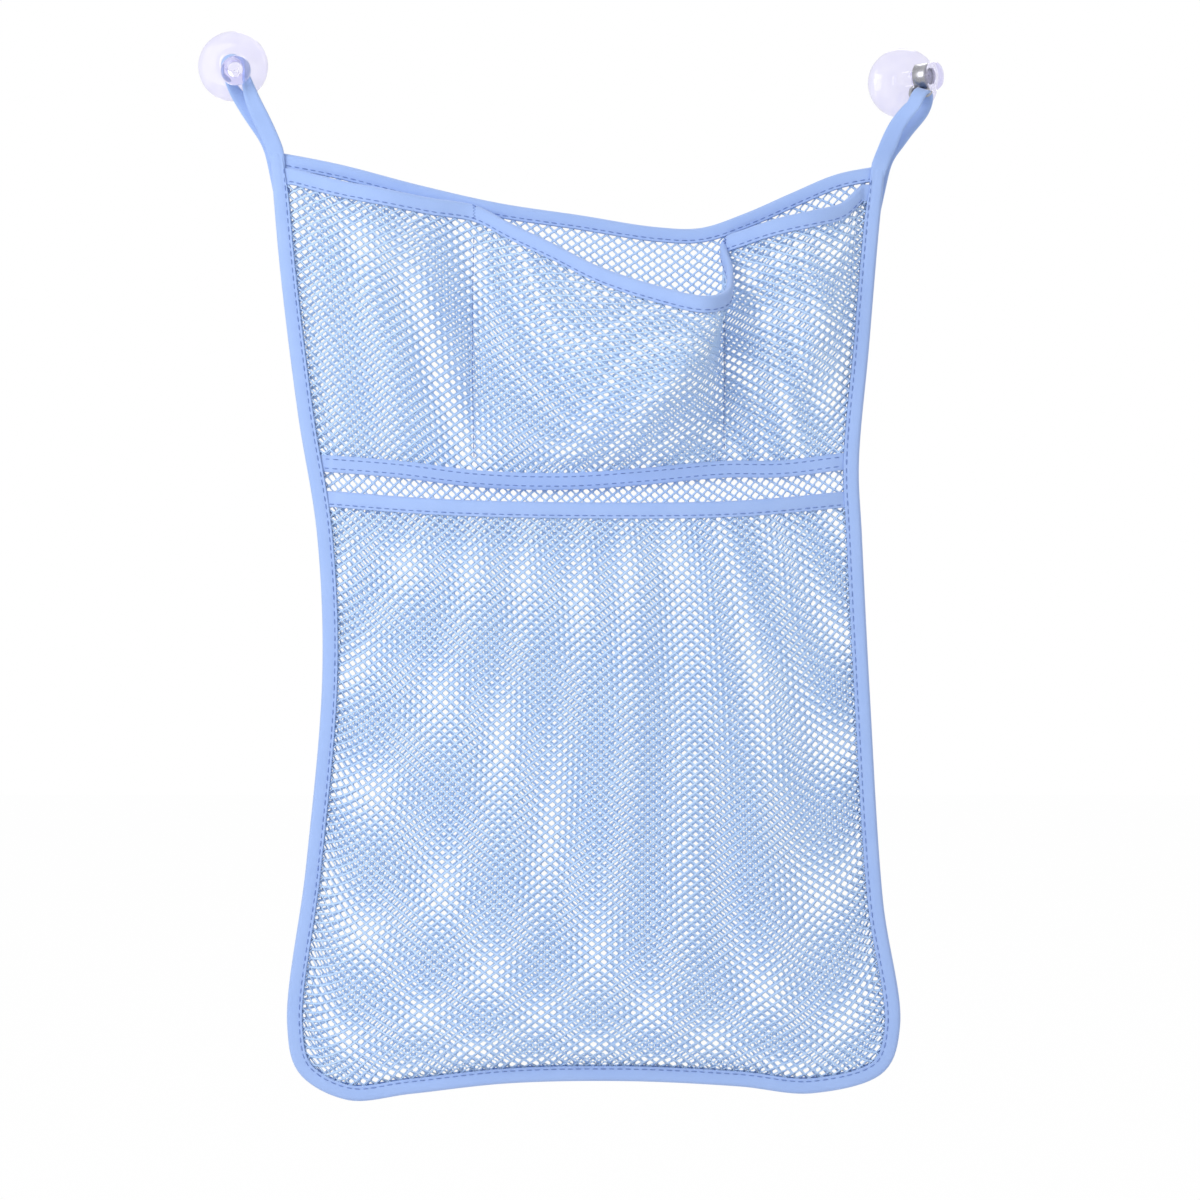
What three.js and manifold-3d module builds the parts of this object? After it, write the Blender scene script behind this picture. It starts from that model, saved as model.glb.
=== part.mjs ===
// A net bag for bath toys that hangs on a wall from two suction cups: three small pockets above,
// one deep pocket below, every edge bound in folded tape.
// Millimetres, +Z up. The origin lies on the wall midway between the cups, and the front faces -Y.

import * as THREE from "three";
import Module from "manifold-3d";

const wasm = await Module();
wasm.setup();

// Gaps between pieces that are sewn or seated together.
const clearance = 0.3;
const cutEndGap = 0.8;
const foldSlack = 0.8;
const lipEndGap = 1.8;
const hingeGap = 1.2;

// Net and tapes.
const netThickness = 0.8;
const netStrand = 4;
const leafThickness = 0.8;
const sideBindingWidth = 10;
const hemWidth = 6;
const upperLipWidth = 7;
const lowerLipWidth = 8;
const baseTapeWidth = 8.5;
const bindingWallGap = 2;

// Outer edge of the bag in the plane of the wall, as [x, z], down the left side and up the right.
const leftCorner = [-148.5, -38.5];
const leftSide = [[-143.5, -97], [-134.5, -170], [-125, -230], [-122.4, -300], [-130.5, -395],
  [-139.9, -474]];
const leftFoot = [-134, -498];
const bottomEdge = [[-110, -511.5], [-78, -508.5], [-30, -503.3], [30, -502.2], [85, -504.8], [122, -508.2]];
const rightFoot = [157.5, -497.5];
const rightSide = [[165.5, -475], [157, -412], [150.5, -310], [146.5, -230], [145, -195], [150, -137],
  [154.8, -80]];
const rightCorner = [158.3, -45.5];
const topEdge = [[-114, -45.2], [-74, -55.6], [-34, -64.6], [6, -70.6], [44, -76.5], [66, -77], [88, -69.8],
  [112, -59.3], [134, -50.2]];

// Upper pockets: the lip as [x, depth in front of the pocket plane, z], the seams and the base tape.
const leftSeam = [-46.5, -70.5];
const rightSeam = [78, -85.5];
const leftLipEnd = -48;
const rightLipEnd = -57.5;
const leftLip = [[-112, 6, -54.8], [-90, 9, -60], [-68, 6, -65.4]];
const centreLip = [[-28, 7, -77], [-8, 15, -86.5], [16, 24, -99.6], [45, 33, -110.2], [66, 38, -115.4],
  [77, 30, -112], [80, 14, -98]];
const rightLip = [[88, 5, -81.5], [104, 10, -76], [122, 11, -70.5], [136, 6, -64.5]];
const baseTapeLine = [[-150, -192], [-121.5, -194.5], [-84, -197.5], [-44, -202.3], [0, -203.5], [36, -201.2],
  [78, -197.5], [106, -197.3], [137.5, -193.5], [170, -190]];
const pocketBellies = [14, 24, 12];
const bellyStart = 3;
const seamDip = 1.1;

// Lower pocket: its lip line and how far it stands off the wall.
const lowerLipLine = [[-150, -204.5], [-119, -208], [-62, -212.6], [10, -214.4], [84, -213.4],
  [138.5, -208.3], [170, -204.5]];
const lowerLipDepth = 14;
const lowerBellyDepth = 34;

// Suction cups, both from one mould, and how the soft necks stand.
const cupSpan = 334.8;
const cupTilt = 4.25;
const cupRadius = 17.5;
const rimFlat = 2.5;
const rimThickness = 0.9;
const hollowDepth = 2;
const domeHeight = 9;
const domeTopRadius = 6.2;
const neckRadius = 3.5;
const neckLength = 10.5;
const neckBendRadius = 5;
const headRadius = 7.5;
const headLength = 6;
const leftNeckTurn = [0.34, -0.5];
const rightNeckTurn = [1.05, 0];

// Steel hook on the right cup: a dished collar and a bent wire.
const collarRadius = 6.6;
const collarLength = 7;
const collarWall = 1.2;
const wireRadius = 1.1;
const troughBack = 1.8;
const troughWidth = 10.4;
const troughDrop = 10.8;
const troughCorner = 1.9;
const hookTipDrop = 8.7;
const hookTurn = 0.4;

// Hanging loops.
const loopTapeWidth = 10;
const loopTapeThickness = 1.4;
const leftSeatAlong = 4.3;
const leftSaddleWidth = 5.6;
const rightSaddleWidth = 7.2;
const loopForward = 1.5;
const loopShift = 0.8;
const hookLoopRadius = 6.5;
const hookLoopGap = 0.95;
const tailOverhang = 1;
const loopLean = 2.6;
const leftTailLength = 21;
const rightTailLength = 23;

// Distances from the wall of the layers at the bag's edge.
const backPlane = bindingWallGap + leafThickness + clearance + netThickness / 2;
const lipHalf = netThickness / 2 + clearance + leafThickness;
const pocketPlane = backPlane + netThickness / 2 + clearance + lipHalf;
const hemFront = backPlane + netThickness / 2 + clearance + leafThickness;
const bindingFront = pocketPlane + netThickness / 2 + clearance + leafThickness;
const panelInset = leafThickness + foldSlack;
const tailFront = bindingWallGap - clearance;
const loopPly = (bindingFront - tailFront) / 2;

const mix = (a, b, t) => a + (b - a) * t;
const clamp01 = (t) => Math.min(1, Math.max(0, t));
const smooth = (a, b, t) => THREE.MathUtils.smoothstep(t, a, b);

// Spline through [x, z] points in the plane of the wall.
function flatCurve(points) {
  const vectors = points.map(([x, z]) => new THREE.Vector3(x, 0, z));
  return new THREE.CatmullRomCurve3(vectors, false, "centripetal");
}

// Points along a flat curve, moved towards its left-hand side by a distance.
function offsetRun(curve, from, to, steps, distance) {
  const run = [];
  for (let i = 0; i <= steps; i++) {
    const t = mix(from, to, i / steps);
    const tangent = curve.getTangent(t);
    run.push(curve.getPoint(t).add(new THREE.Vector3(-tangent.z, 0, tangent.x).multiplyScalar(distance)));
  }
  return run;
}

// Point of a run at a given x or z, by straight interpolation.
function pointAt(run, key, value) {
  const rising = run[run.length - 1][key] > run[0][key];
  let i = run.findIndex((point) => (rising ? point[key] >= value : point[key] <= value));
  i = i < 0 ? run.length - 1 : Math.max(1, i);
  const t = (value - run[i - 1][key]) / (run[i][key] - run[i - 1][key]);
  return run[i - 1].clone().lerp(run[i], t);
}

const outlinePoints = [leftCorner, ...leftSide, leftFoot, ...bottomEdge, rightFoot, ...rightSide,
  rightCorner];
const outline = flatCurve(outlinePoints);
const leftFootAt = outlinePoints.indexOf(leftFoot) / (outlinePoints.length - 1);
const rightFootAt = outlinePoints.indexOf(rightFoot) / (outlinePoints.length - 1);
const hemCurve = flatCurve([leftCorner, ...topEdge, rightCorner].reverse());
const runSteps = 160;

// The bag's four edges moved inwards by a distance: heights or positions go in, points come out.
function insetEdges(distance) {
  const leftRun = offsetRun(outline, 0, leftFootAt, runSteps, distance);
  const bottomRun = offsetRun(outline, leftFootAt, rightFootAt, runSteps, distance);
  const rightRun = offsetRun(outline, rightFootAt, 1, runSteps, distance);
  const topRun = offsetRun(hemCurve, 0, 1, runSteps, distance);
  return {
    left: (z) => pointAt(leftRun, "z", z),
    right: (z) => pointAt(rightRun, "z", z),
    bottom: (x) => pointAt(bottomRun, "x", x),
    top: (x) => pointAt(topRun, "x", x),
    leftFoot: leftRun[runSteps],
    rightFoot: rightRun[0],
  };
}

const panelEdges = insetEdges(panelInset);
const innerEdges = insetEdges(sideBindingWidth + cutEndGap);

// Patch between four edge curves: each point blends the two pairs of opposite edges.
function edgePatch(left, right, bottom, top) {
  const corner = [left(0), right(0), left(1), right(1)];
  return (u, v, along = u) => {
    const point = left(v).multiplyScalar(1 - u).addScaledVector(right(v), u);
    point.addScaledVector(bottom(along), 1 - v).addScaledVector(top(along), v);
    point.addScaledVector(corner[0], -(1 - u) * (1 - v)).addScaledVector(corner[1], -u * (1 - v));
    return point.addScaledVector(corner[2], -(1 - u) * v).addScaledVector(corner[3], -u * v);
  };
}

// Geometry of a closed body from points and triangles, turned so that its faces point out.
function closedGeometry(points, triangles) {
  let volume = 0;
  for (const [a, b, c] of triangles) volume += points[a].dot(points[b].clone().cross(points[c]));
  const order = volume < 0 ? triangles.map(([a, b, c]) => [a, c, b]) : triangles;
  const geometry = new THREE.BufferGeometry();
  geometry.setAttribute("position", new THREE.Float32BufferAttribute(points.flatMap((p) => p.toArray()), 3));
  geometry.setIndex(order.flat());
  geometry.computeVertexNormals();
  return geometry;
}

// Body swept by a closed section: a station places section point [a, b] at origin + a across + b outward.
function sweep(stations, sectionAt) {
  const points = [];
  const triangles = [];
  const size = sectionAt(0).length;
  stations.forEach(({ origin, across, outward }, i) => {
    for (const [a, b] of sectionAt(i / (stations.length - 1))) {
      points.push(origin.clone().addScaledVector(across, a).addScaledVector(outward, b));
    }
  });
  for (let i = 0; i + 1 < stations.length; i++) {
    for (let j = 0; j < size; j++) {
      const next = (j + 1) % size;
      const corner = [i * size + j, i * size + next, (i + 1) * size + next, (i + 1) * size + j];
      triangles.push([corner[0], corner[1], corner[2]], [corner[0], corner[2], corner[3]]);
    }
  }
  const outlineShape = sectionAt(0).map(([a, b]) => new THREE.Vector2(a, b));
  const turn = THREE.ShapeUtils.isClockWise(outlineShape) ? -1 : 1;
  const last = (stations.length - 1) * size;
  for (const [a, b, c] of THREE.ShapeUtils.triangulateShape(outlineShape, [])) {
    const area = outlineShape[b].clone().sub(outlineShape[a])
      .cross(outlineShape[c].clone().sub(outlineShape[a]));
    const [p, q] = area * turn > 0 ? [b, c] : [c, b];
    triangles.push([a, q, p], [last + a, last + p, last + q]);
  }
  return closedGeometry(points, triangles);
}

// Section of tape folded over an edge: two leaves joined by a fold with eased outer corners.
function foldedTape(width, back, front) {
  const ease = leafThickness / 2;
  return [[ease, back], [width, back], [width, back + leafThickness], [leafThickness, back + leafThickness],
    [leafThickness, front - leafThickness], [width, front - leafThickness], [width, front], [ease, front],
    [0, front - ease], [0, back + ease]];
}

// Section of flat tape with eased edges.
function flatTape(low, high, back, front) {
  const ease = (front - back) / 3;
  return [[low + ease, back], [high - ease, back], [high, back + ease], [high, front - ease],
    [high - ease, front], [low + ease, front], [low, front - ease], [low, back + ease]];
}

// Stations along a flat curve, with across pointing to its left-hand side and outward to the front.
function flatStations(curve, from, to, steps) {
  const stations = [];
  for (let i = 0; i <= steps; i++) {
    const t = mix(from, to, i / steps);
    const tangent = curve.getTangent(t);
    stations.push({
      origin: curve.getPoint(t),
      across: new THREE.Vector3(-tangent.z, 0, tangent.x),
      outward: new THREE.Vector3(0, -1, 0),
    });
  }
  return stations;
}

// Parameter of a flat curve at a given x, by halving the range.
function parameterAt(curve, x) {
  let [low, high] = [0, 1];
  const rising = curve.getPoint(1).x > curve.getPoint(0).x;
  for (let i = 0; i < 40; i++) {
    const middle = (low + high) / 2;
    if (curve.getPoint(middle).x < x === rising) low = middle;
    else high = middle;
  }
  return low;
}

const front = new THREE.Vector3(0, -1, 0);
const down = new THREE.Vector3(0, 0, -1);

// Level direction square to a run from left to right, pointing to its front.
const levelNormal = (along) => down.clone().cross(along).normalize();

// Diamond net. Lattice lines cross a surface of two parameters and every full diamond is a gap. A plain
// margin joins the lattice to the panel's edge, and along the top a band of net stands ready for its tape.
function netPanel({ surface, columns, rows, leftEdge, rightEdge, bottomEdge, bandPlaces, bandTop }) {
  const places = [];
  const faces = [];
  const step = 1e-3;
  const normalAt = (a, v) => {
    const alongA = surface(a + step, v).sub(surface(a - step, v));
    const alongV = surface(a, v + step).sub(surface(a, v - step));
    return alongA.cross(alongV).normalize();
  };
  const add = (a, v, point, normal) => places.push({ a, v, point, normal }) - 1;
  const place = (a, v) => add(a, v, surface(a, v), normalAt(a, v));
  const bandNormal = (a) => levelNormal(surface(a + step, 1).sub(surface(a - step, 1)));
  const lastColumn = columns.length - 1;
  const lastRow = rows.length - 1;
  const nodes = columns.map((a, i) => rows.map((v, j) => ((i + j) % 2 ? null : place(a, v))));
  const spread = (a0, v0, a1, v1) => surface(a0, v0).distanceTo(surface(a1, v1));
  for (let i = 0; i <= lastColumn; i++) {
    for (let j = 0; j <= lastRow; j++) {
      if ((i + j) % 2 === 0) continue;
      const around = [[i - 1, j], [i, j - 1], [i + 1, j], [i, j + 1]];
      const ring = around.map(([m, n]) => nodes[m]?.[n])
        .filter((node) => node !== undefined && node !== null);
      if (ring.length < 4) {
        faces.push(ring);
        continue;
      }
      const halfWidth = spread(columns[i - 1], rows[j], columns[i + 1], rows[j]) / 2;
      const halfHeight = spread(columns[i], rows[j - 1], columns[i], rows[j + 1]) / 2;
      const reach = halfWidth * halfHeight / Math.hypot(halfWidth, halfHeight);
      const open = Math.max(0.2, 1 - netStrand / 2 / reach);
      const hole = around.map(([m, n]) => {
        return place(mix(columns[i], columns[m], open), mix(rows[j], rows[n], open));
      });
      for (let k = 0; k < 4; k++) {
        const next = (k + 1) % 4;
        faces.push([ring[k], ring[next], hole[next]], [ring[k], hole[next], hole[k]]);
      }
    }
  }

  // Margin: strips of triangles from the lattice's border to the panel's edges and to the band.
  const margin = 0.05;
  const [leftMost, rightMost] = [columns[0] - margin, columns[lastColumn] + margin];
  const shareOf = (i, list) => i / (list.length - 1);
  const sidePlaces = (edge, a) => edge.map((point, i) => {
    return add(a, mix(-margin, 1, shareOf(i, edge)), point, front);
  });
  const lefts = sidePlaces(leftEdge, leftMost);
  const rights = sidePlaces(rightEdge, rightMost);
  const bottoms = bottomEdge.map((point, i) => {
    return add(mix(leftMost, rightMost, shareOf(i, bottomEdge)), -margin, point, front);
  });
  bottoms[0] = lefts[0];
  bottoms[bottoms.length - 1] = rights[0];
  const bandInner = bandPlaces.map((a) => add(a, 1, surface(a, 1), bandNormal(a)));
  const bandLow = [lefts[lefts.length - 1], ...bandInner, rights[rights.length - 1]];
  const bandHigh = bandLow.map((index) => {
    const { a, point, normal } = places[index];
    return add(a, 1 + margin, bandTop(point), normal);
  });
  const strip = (outside, inside, key) => {
    const share = (list, i) => {
      const first = places[list[0]][key];
      return (places[list[i]][key] - first) / (places[list[list.length - 1]][key] - first);
    };
    const halfway = (list, i) => (i + 1 < list.length ? share(list, i) + share(list, i + 1) : 4);
    let [i, j] = [0, 0];
    while (i + 1 < outside.length || j + 1 < inside.length) {
      if (halfway(outside, i) <= halfway(inside, j)) faces.push([outside[i], outside[++i], inside[j]]);
      else faces.push([outside[i], inside[j + 1], inside[j++]]);
    }
  };
  const everyOther = (list) => list.filter((node) => node !== null);
  strip(lefts, everyOther(nodes[0]), "v");
  strip(rights, everyOther(nodes[lastColumn]), "v");
  strip(bottoms, everyOther(nodes.map((column) => column[0])), "a");
  strip(bandLow, everyOther(nodes.map((column) => column[lastRow])), "a");
  strip(bandHigh, bandLow, "a");

  // Front and back faces stand half a thickness off the surface, and walls close every open edge.
  const points = [];
  for (const { point, normal } of places) {
    points.push(point.clone().addScaledVector(normal, netThickness / 2));
    points.push(point.clone().addScaledVector(normal, -netThickness / 2));
  }
  const triangles = [];
  const edges = new Map();
  const flat = (index) => new THREE.Vector2(places[index].a, places[index].v);
  for (const face of faces) {
    const [p, q, r] = face.map(flat);
    const [a, b, c] = q.sub(p).cross(r.sub(p)) > 0 ? face : [face[0], face[2], face[1]];
    triangles.push([2 * a, 2 * b, 2 * c], [2 * a + 1, 2 * c + 1, 2 * b + 1]);
    for (const [from, to] of [[a, b], [b, c], [c, a]]) edges.set(`${from} ${to}`, [from, to]);
  }
  for (const [from, to] of edges.values()) {
    if (edges.has(`${to} ${from}`)) continue;
    triangles.push([2 * to, 2 * from, 2 * from + 1], [2 * to, 2 * from + 1, 2 * to + 1]);
  }
  return closedGeometry(points, triangles);
}

const evenSteps = (from, to, count) => Array.from({ length: count + 1 }, (_, i) => mix(from, to, i / count));
const inner = (values) => values.slice(1, -1);

// Runs of points along the panels' edges, hidden in the side binding.
const sideRun = (side, from, to, count, plane) => evenSteps(from, to, count).map((z) => side(z).setY(-plane));
const bottomRun = (plane) => evenSteps(panelEdges.leftFoot.x, panelEdges.rightFoot.x, 22)
  .map((x) => panelEdges.bottom(x).setY(-plane));
const insideBottom = (u) => innerEdges.bottom(mix(innerEdges.leftFoot.x, innerEdges.rightFoot.x, u));

// Back panel: one flat net inside the side binding and the hem.
const hemReach = hemWidth + cutEndGap;
const hemLine = insetEdges(hemReach).top;
const hemRise = hemReach - panelInset;
const backTopLeft = hemLine(innerEdges.left(leftCorner[1] - hemReach).x);
const backTopRight = hemLine(innerEdges.right(rightCorner[1] - hemReach).x);
const backPatch = edgePatch(
  (v) => innerEdges.left(mix(innerEdges.leftFoot.z, backTopLeft.z, v)),
  (v) => innerEdges.right(mix(innerEdges.rightFoot.z, backTopRight.z, v)),
  insideBottom,
  (u) => hemLine(mix(backTopLeft.x, backTopRight.x, u)),
);
const backPanel = netPanel({
  surface: (u, v) => backPatch(u, v).setY(-backPlane),
  columns: evenSteps(0, 1, 14),
  rows: evenSteps(0, 0.98, 20),
  leftEdge: sideRun(panelEdges.left, panelEdges.leftFoot.z, backTopLeft.z, 20, backPlane),
  rightEdge: sideRun(panelEdges.right, panelEdges.rightFoot.z, backTopRight.z, 20, backPlane),
  bottomEdge: bottomRun(backPlane),
  bandPlaces: evenSteps(0, 1, 20),
  bandTop: (point) => point.clone().add(new THREE.Vector3(0, 0, hemRise)),
});

// Upper pockets: one net whose lip is a space curve. The first parameter counts pockets, 0 to 1 the left,
// 1 to 2 the centre and 2 to 3 the right one.
const upperBandLow = upperLipWidth + cutEndGap;
const lipEdges = insetEdges(sideBindingWidth + lipEndGap);
const lipStart = lipEdges.left(leftLipEnd - upperBandLow);
const lipFinish = lipEdges.right(rightLipEnd - upperBandLow);
const lipPoints = [
  [lipStart.x, 0, leftLipEnd], ...leftLip, [leftSeam[0], 0, leftSeam[1]], ...centreLip,
  [rightSeam[0], 0, rightSeam[1]], ...rightLip, [lipFinish.x, 0, rightLipEnd],
];
const lipVectors = lipPoints.map(([x, depth, z]) => new THREE.Vector3(x, -pocketPlane - depth, z));
const lipCurve = new THREE.CatmullRomCurve3(lipVectors, false, "centripetal");
const lipKnots = [0, leftLip.length + 1, leftLip.length + centreLip.length + 2, lipPoints.length - 1];
const pocketOf = (q) => Math.min(2, Math.max(0, Math.floor(q)));
const upperLipPoint = (q) => {
  const pocket = pocketOf(q);
  return lipCurve.getPoint(mix(lipKnots[pocket], lipKnots[pocket + 1], clamp01(q - pocket)) / lipKnots[3]);
};
const baseTape = flatCurve(baseTapeLine);
const baseTapeRun = offsetRun(baseTape, 0, 1, runSteps, 0);
const baseHeight = (x) => pointAt(baseTapeRun, "x", x).z;
const pocketFoot = (x) => baseHeight(x) + baseTapeWidth / 2 + bellyStart;
const pocketBottom = (x) => baseHeight(x) - baseTapeWidth / 2 + leafThickness;

const upperFootLeft = innerEdges.left(pocketFoot(leftSide[2][0]));
const upperFootRight = innerEdges.right(pocketFoot(rightSide[4][0]));
const footKnots = [upperFootLeft.x, leftSeam[0], rightSeam[0], upperFootRight.x];
const footX = (q) => mix(footKnots[pocketOf(q)], footKnots[pocketOf(q) + 1], q - pocketOf(q));
const upperPatch = edgePatch(
  (v) => innerEdges.left(mix(upperFootLeft.z, leftLipEnd - upperBandLow, v)),
  (v) => innerEdges.right(mix(upperFootRight.z, rightLipEnd - upperBandLow, v)),
  (q) => new THREE.Vector3(footX(q), 0, pocketFoot(footX(q))),
  (q) => upperLipPoint(q).setY(0).add(new THREE.Vector3(0, 0, -upperBandLow)),
);

// Depth grows from the tape to the lip; a belly swells each pocket and the seams dip to the back panel.
function upperSurface(q, v) {
  const u = (footX(q) - footKnots[0]) / (footKnots[3] - footKnots[0]);
  const point = upperPatch(u, v, q);
  const rise = clamp01(v);
  const across = Math.sin(Math.PI * clamp01(q - pocketOf(q)));
  const inside = clamp01(8 * Math.min(q, 3 - q));
  const lipDepth = -pocketPlane - upperLipPoint(q).y;
  const depth = lipDepth * Math.sin(rise * Math.PI / 2)
    + pocketBellies[pocketOf(q)] * across * Math.sin(rise * Math.PI)
    - seamDip * inside * clamp01(1 - 3 * across) * clamp01(6 * Math.min(rise, 1 - rise));
  return point.setY(-pocketPlane - depth);
}

const upperLipPlaces = [
  ...evenSteps(0, 1, 8), ...evenSteps(1, 2, 22).slice(1), ...evenSteps(2, 3, 10).slice(1),
];
const upperBottoms = evenSteps(panelEdges.left(upperFootLeft.z).x, panelEdges.right(upperFootRight.z).x, 12)
  .map((x) => new THREE.Vector3(x, -pocketPlane, pocketBottom(x)));
const upperPocketPanel = netPanel({
  surface: upperSurface,
  columns: [...evenSteps(0, 1, 4), ...evenSteps(1, 2, 8).slice(1), ...evenSteps(2, 3, 4).slice(1)],
  rows: evenSteps(0, 0.92, 8),
  leftEdge: sideRun(panelEdges.left, upperBottoms[0].z, leftLipEnd - upperBandLow, 6, pocketPlane),
  rightEdge: sideRun(panelEdges.right, upperBottoms[12].z, rightLipEnd - upperBandLow, 6, pocketPlane),
  bottomEdge: upperBottoms,
  bandPlaces: upperLipPlaces,
  bandTop: (point) => point.clone().add(new THREE.Vector3(0, 0, upperBandLow - panelInset)),
});

// Lower pocket: a net that bellies out above the bottom binding and hangs from its lip.
const lowerBandLow = lowerLipWidth + cutEndGap;
const lowerLipCurve = flatCurve(lowerLipLine);
const lowerLipRun = offsetRun(lowerLipCurve, 0, 1, runSteps, 0);
const lowerLipHeight = (x) => pointAt(lowerLipRun, "x", x).z;
const lowerTopLeft = lipEdges.left(lowerLipLine[1][1] - lowerBandLow);
const lowerTopRight = lipEdges.right(lowerLipLine[5][1] - lowerBandLow);
const lowerLipX = (u) => mix(lowerTopLeft.x, lowerTopRight.x, u);
const lowerPatch = edgePatch(
  (v) => innerEdges.left(mix(innerEdges.leftFoot.z, lowerLipHeight(lowerTopLeft.x) - lowerBandLow, v)),
  (v) => innerEdges.right(mix(innerEdges.rightFoot.z, lowerLipHeight(lowerTopRight.x) - lowerBandLow, v)),
  insideBottom,
  (u) => new THREE.Vector3(lowerLipX(u), 0, lowerLipHeight(lowerLipX(u)) - lowerBandLow),
);

// Depth: a steady lean out to the lip plus a belly low in the pocket, both dying out at the sides.
function lowerSurface(u, v) {
  const across = 1 - Math.abs(2 * clamp01(u) - 1) ** 2.6;
  const rise = clamp01(v);
  const lean = lowerLipDepth * rise + lowerBellyDepth * Math.sin(Math.PI * rise ** 0.6);
  return lowerPatch(u, v).setY(-pocketPlane - across * lean);
}

const lowerLipPlaces = evenSteps(0, 1, 24);
const lowerLeftTop = lowerLipHeight(lowerTopLeft.x) - lowerBandLow;
const lowerRightTop = lowerLipHeight(lowerTopRight.x) - lowerBandLow;
const lowerPocketPanel = netPanel({
  surface: lowerSurface,
  columns: evenSteps(0, 1, 14),
  rows: evenSteps(0, 0.96, 14),
  leftEdge: sideRun(panelEdges.left, panelEdges.leftFoot.z, lowerLeftTop, 14, pocketPlane),
  rightEdge: sideRun(panelEdges.right, panelEdges.rightFoot.z, lowerRightTop, 14, pocketPlane),
  bottomEdge: bottomRun(pocketPlane),
  bandPlaces: lowerLipPlaces,
  bandTop: (point) => point.clone().add(new THREE.Vector3(0, 0, lowerBandLow - panelInset)),
});

// Folded tape over a pocket's lip: its leaves hang straight down in front of and behind the net's band.
function pocketLip(surface, lipPlaces, width, bandLow) {
  const step = 1e-3;
  const stations = lipPlaces.map((a) => ({
    origin: surface(a, 1).addScaledVector(down, -bandLow),
    across: down,
    outward: levelNormal(surface(a + step, 1).sub(surface(a - step, 1))),
  }));
  return sweep(stations, () => foldedTape(width, -lipHalf, lipHalf));
}

const upperPocketLip = pocketLip(upperSurface, upperLipPlaces, upperLipWidth, upperBandLow);
const lowerPocketLip = pocketLip(lowerSurface, lowerLipPlaces, lowerLipWidth, lowerBandLow);

// Side and bottom binding, the hem between its ends, and the tape that closes the upper pockets below.
const bindingSection = () => foldedTape(sideBindingWidth, bindingWallGap, bindingFront);
const edgeBinding = sweep(flatStations(outline, 0, 1, 3 * (outlinePoints.length - 1)), bindingSection);
const hemEndGap = cutEndGap + hemWidth / 3;
const hemEnds = insetEdges(sideBindingWidth + hemEndGap);
const hemFrom = parameterAt(hemCurve, hemEnds.right(rightCorner[1]).x);
const hemTo = parameterAt(hemCurve, hemEnds.left(leftCorner[1]).x);
const hemSection = () => foldedTape(hemWidth, bindingWallGap, hemFront);
const topBinding = sweep(flatStations(hemCurve, hemFrom, hemTo, 28), hemSection);
const tapeFrom = parameterAt(baseTape, innerEdges.left(pocketBottom(upperFootLeft.x) - cutEndGap).x);
const tapeTo = parameterAt(baseTape, innerEdges.right(pocketBottom(upperFootRight.x) - cutEndGap).x);
const tapeBack = pocketPlane + netThickness / 2 + clearance;
const tapeSection = () => flatTape(-baseTapeWidth / 2, baseTapeWidth / 2, tapeBack, tapeBack + leafThickness);
const upperPocketBaseTape = sweep(flatStations(baseTape, tapeFrom, tapeTo, 22), tapeSection);

// Tape tails of the loops, sewn to the back of the side binding and a little proud of its edge. Each leans
// out further at its top, where the loop goes on.
function loopTail(from, to, leans) {
  return sweep(flatStations(outline, from, to, 4), (share) => {
    const edge = -tailOverhang - mix(leans[0], leans[1], share);
    return flatTape(edge, edge + loopTapeWidth, tailFront - loopTapeThickness, tailFront);
  });
}

const outlineLength = outline.getLength();
const leftLoopTail = loopTail(0, outline.getUtoTmapping(leftTailLength / outlineLength), [loopLean, 0]);
const rightLoopTail = loopTail(outline.getUtoTmapping(1 - rightTailLength / outlineLength), 1, [0, loopLean]);

// Closed solid from a geometry, and a geometry back from the joined solid.
function toSolid(geometry) {
  const points = [];
  const indexOf = new Map();
  const position = geometry.getAttribute("position");
  const merged = Array.from({ length: position.count }, (_, i) => {
    const point = new THREE.Vector3().fromBufferAttribute(position, i);
    const key = point.toArray().map((value) => Math.round(value * 1e4)).join(" ");
    if (!indexOf.has(key)) indexOf.set(key, points.push(point) - 1);
    return indexOf.get(key);
  });
  const triangles = [];
  for (let i = 0; i < geometry.index.count; i += 3) {
    const [a, b, c] = [0, 1, 2].map((k) => merged[geometry.index.getX(i + k)]);
    if (a !== b && b !== c && c !== a) triangles.push([a, b, c]);
  }
  const closed = closedGeometry(points, triangles);
  return new wasm.Manifold(new wasm.Mesh({
    numProp: 3,
    vertProperties: new Float32Array(closed.getAttribute("position").array),
    triVerts: new Uint32Array(closed.index.array),
  }));
}

function fromSolid(solid) {
  const mesh = solid.getMesh();
  const geometry = new THREE.BufferGeometry();
  geometry.setAttribute("position", new THREE.Float32BufferAttribute(mesh.vertProperties, 3));
  geometry.setIndex([...mesh.triVerts]);
  geometry.computeVertexNormals();
  return geometry;
}

// Body turned about an axis from [radius, distance along the axis] points.
function turned(profile, sides, origin, axis) {
  const geometry = new THREE.LatheGeometry(profile.map(([r, h]) => new THREE.Vector2(r, h)), sides);
  geometry.applyQuaternion(new THREE.Quaternion().setFromUnitVectors(new THREE.Vector3(0, 1, 0), axis));
  return geometry.translate(origin.x, origin.y, origin.z);
}

const roundSection = (radius, sides) => Array.from({ length: sides }, (_, i) => {
  const angle = 2 * Math.PI * i / sides;
  return [radius * Math.cos(angle), radius * Math.sin(angle)];
});

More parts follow.
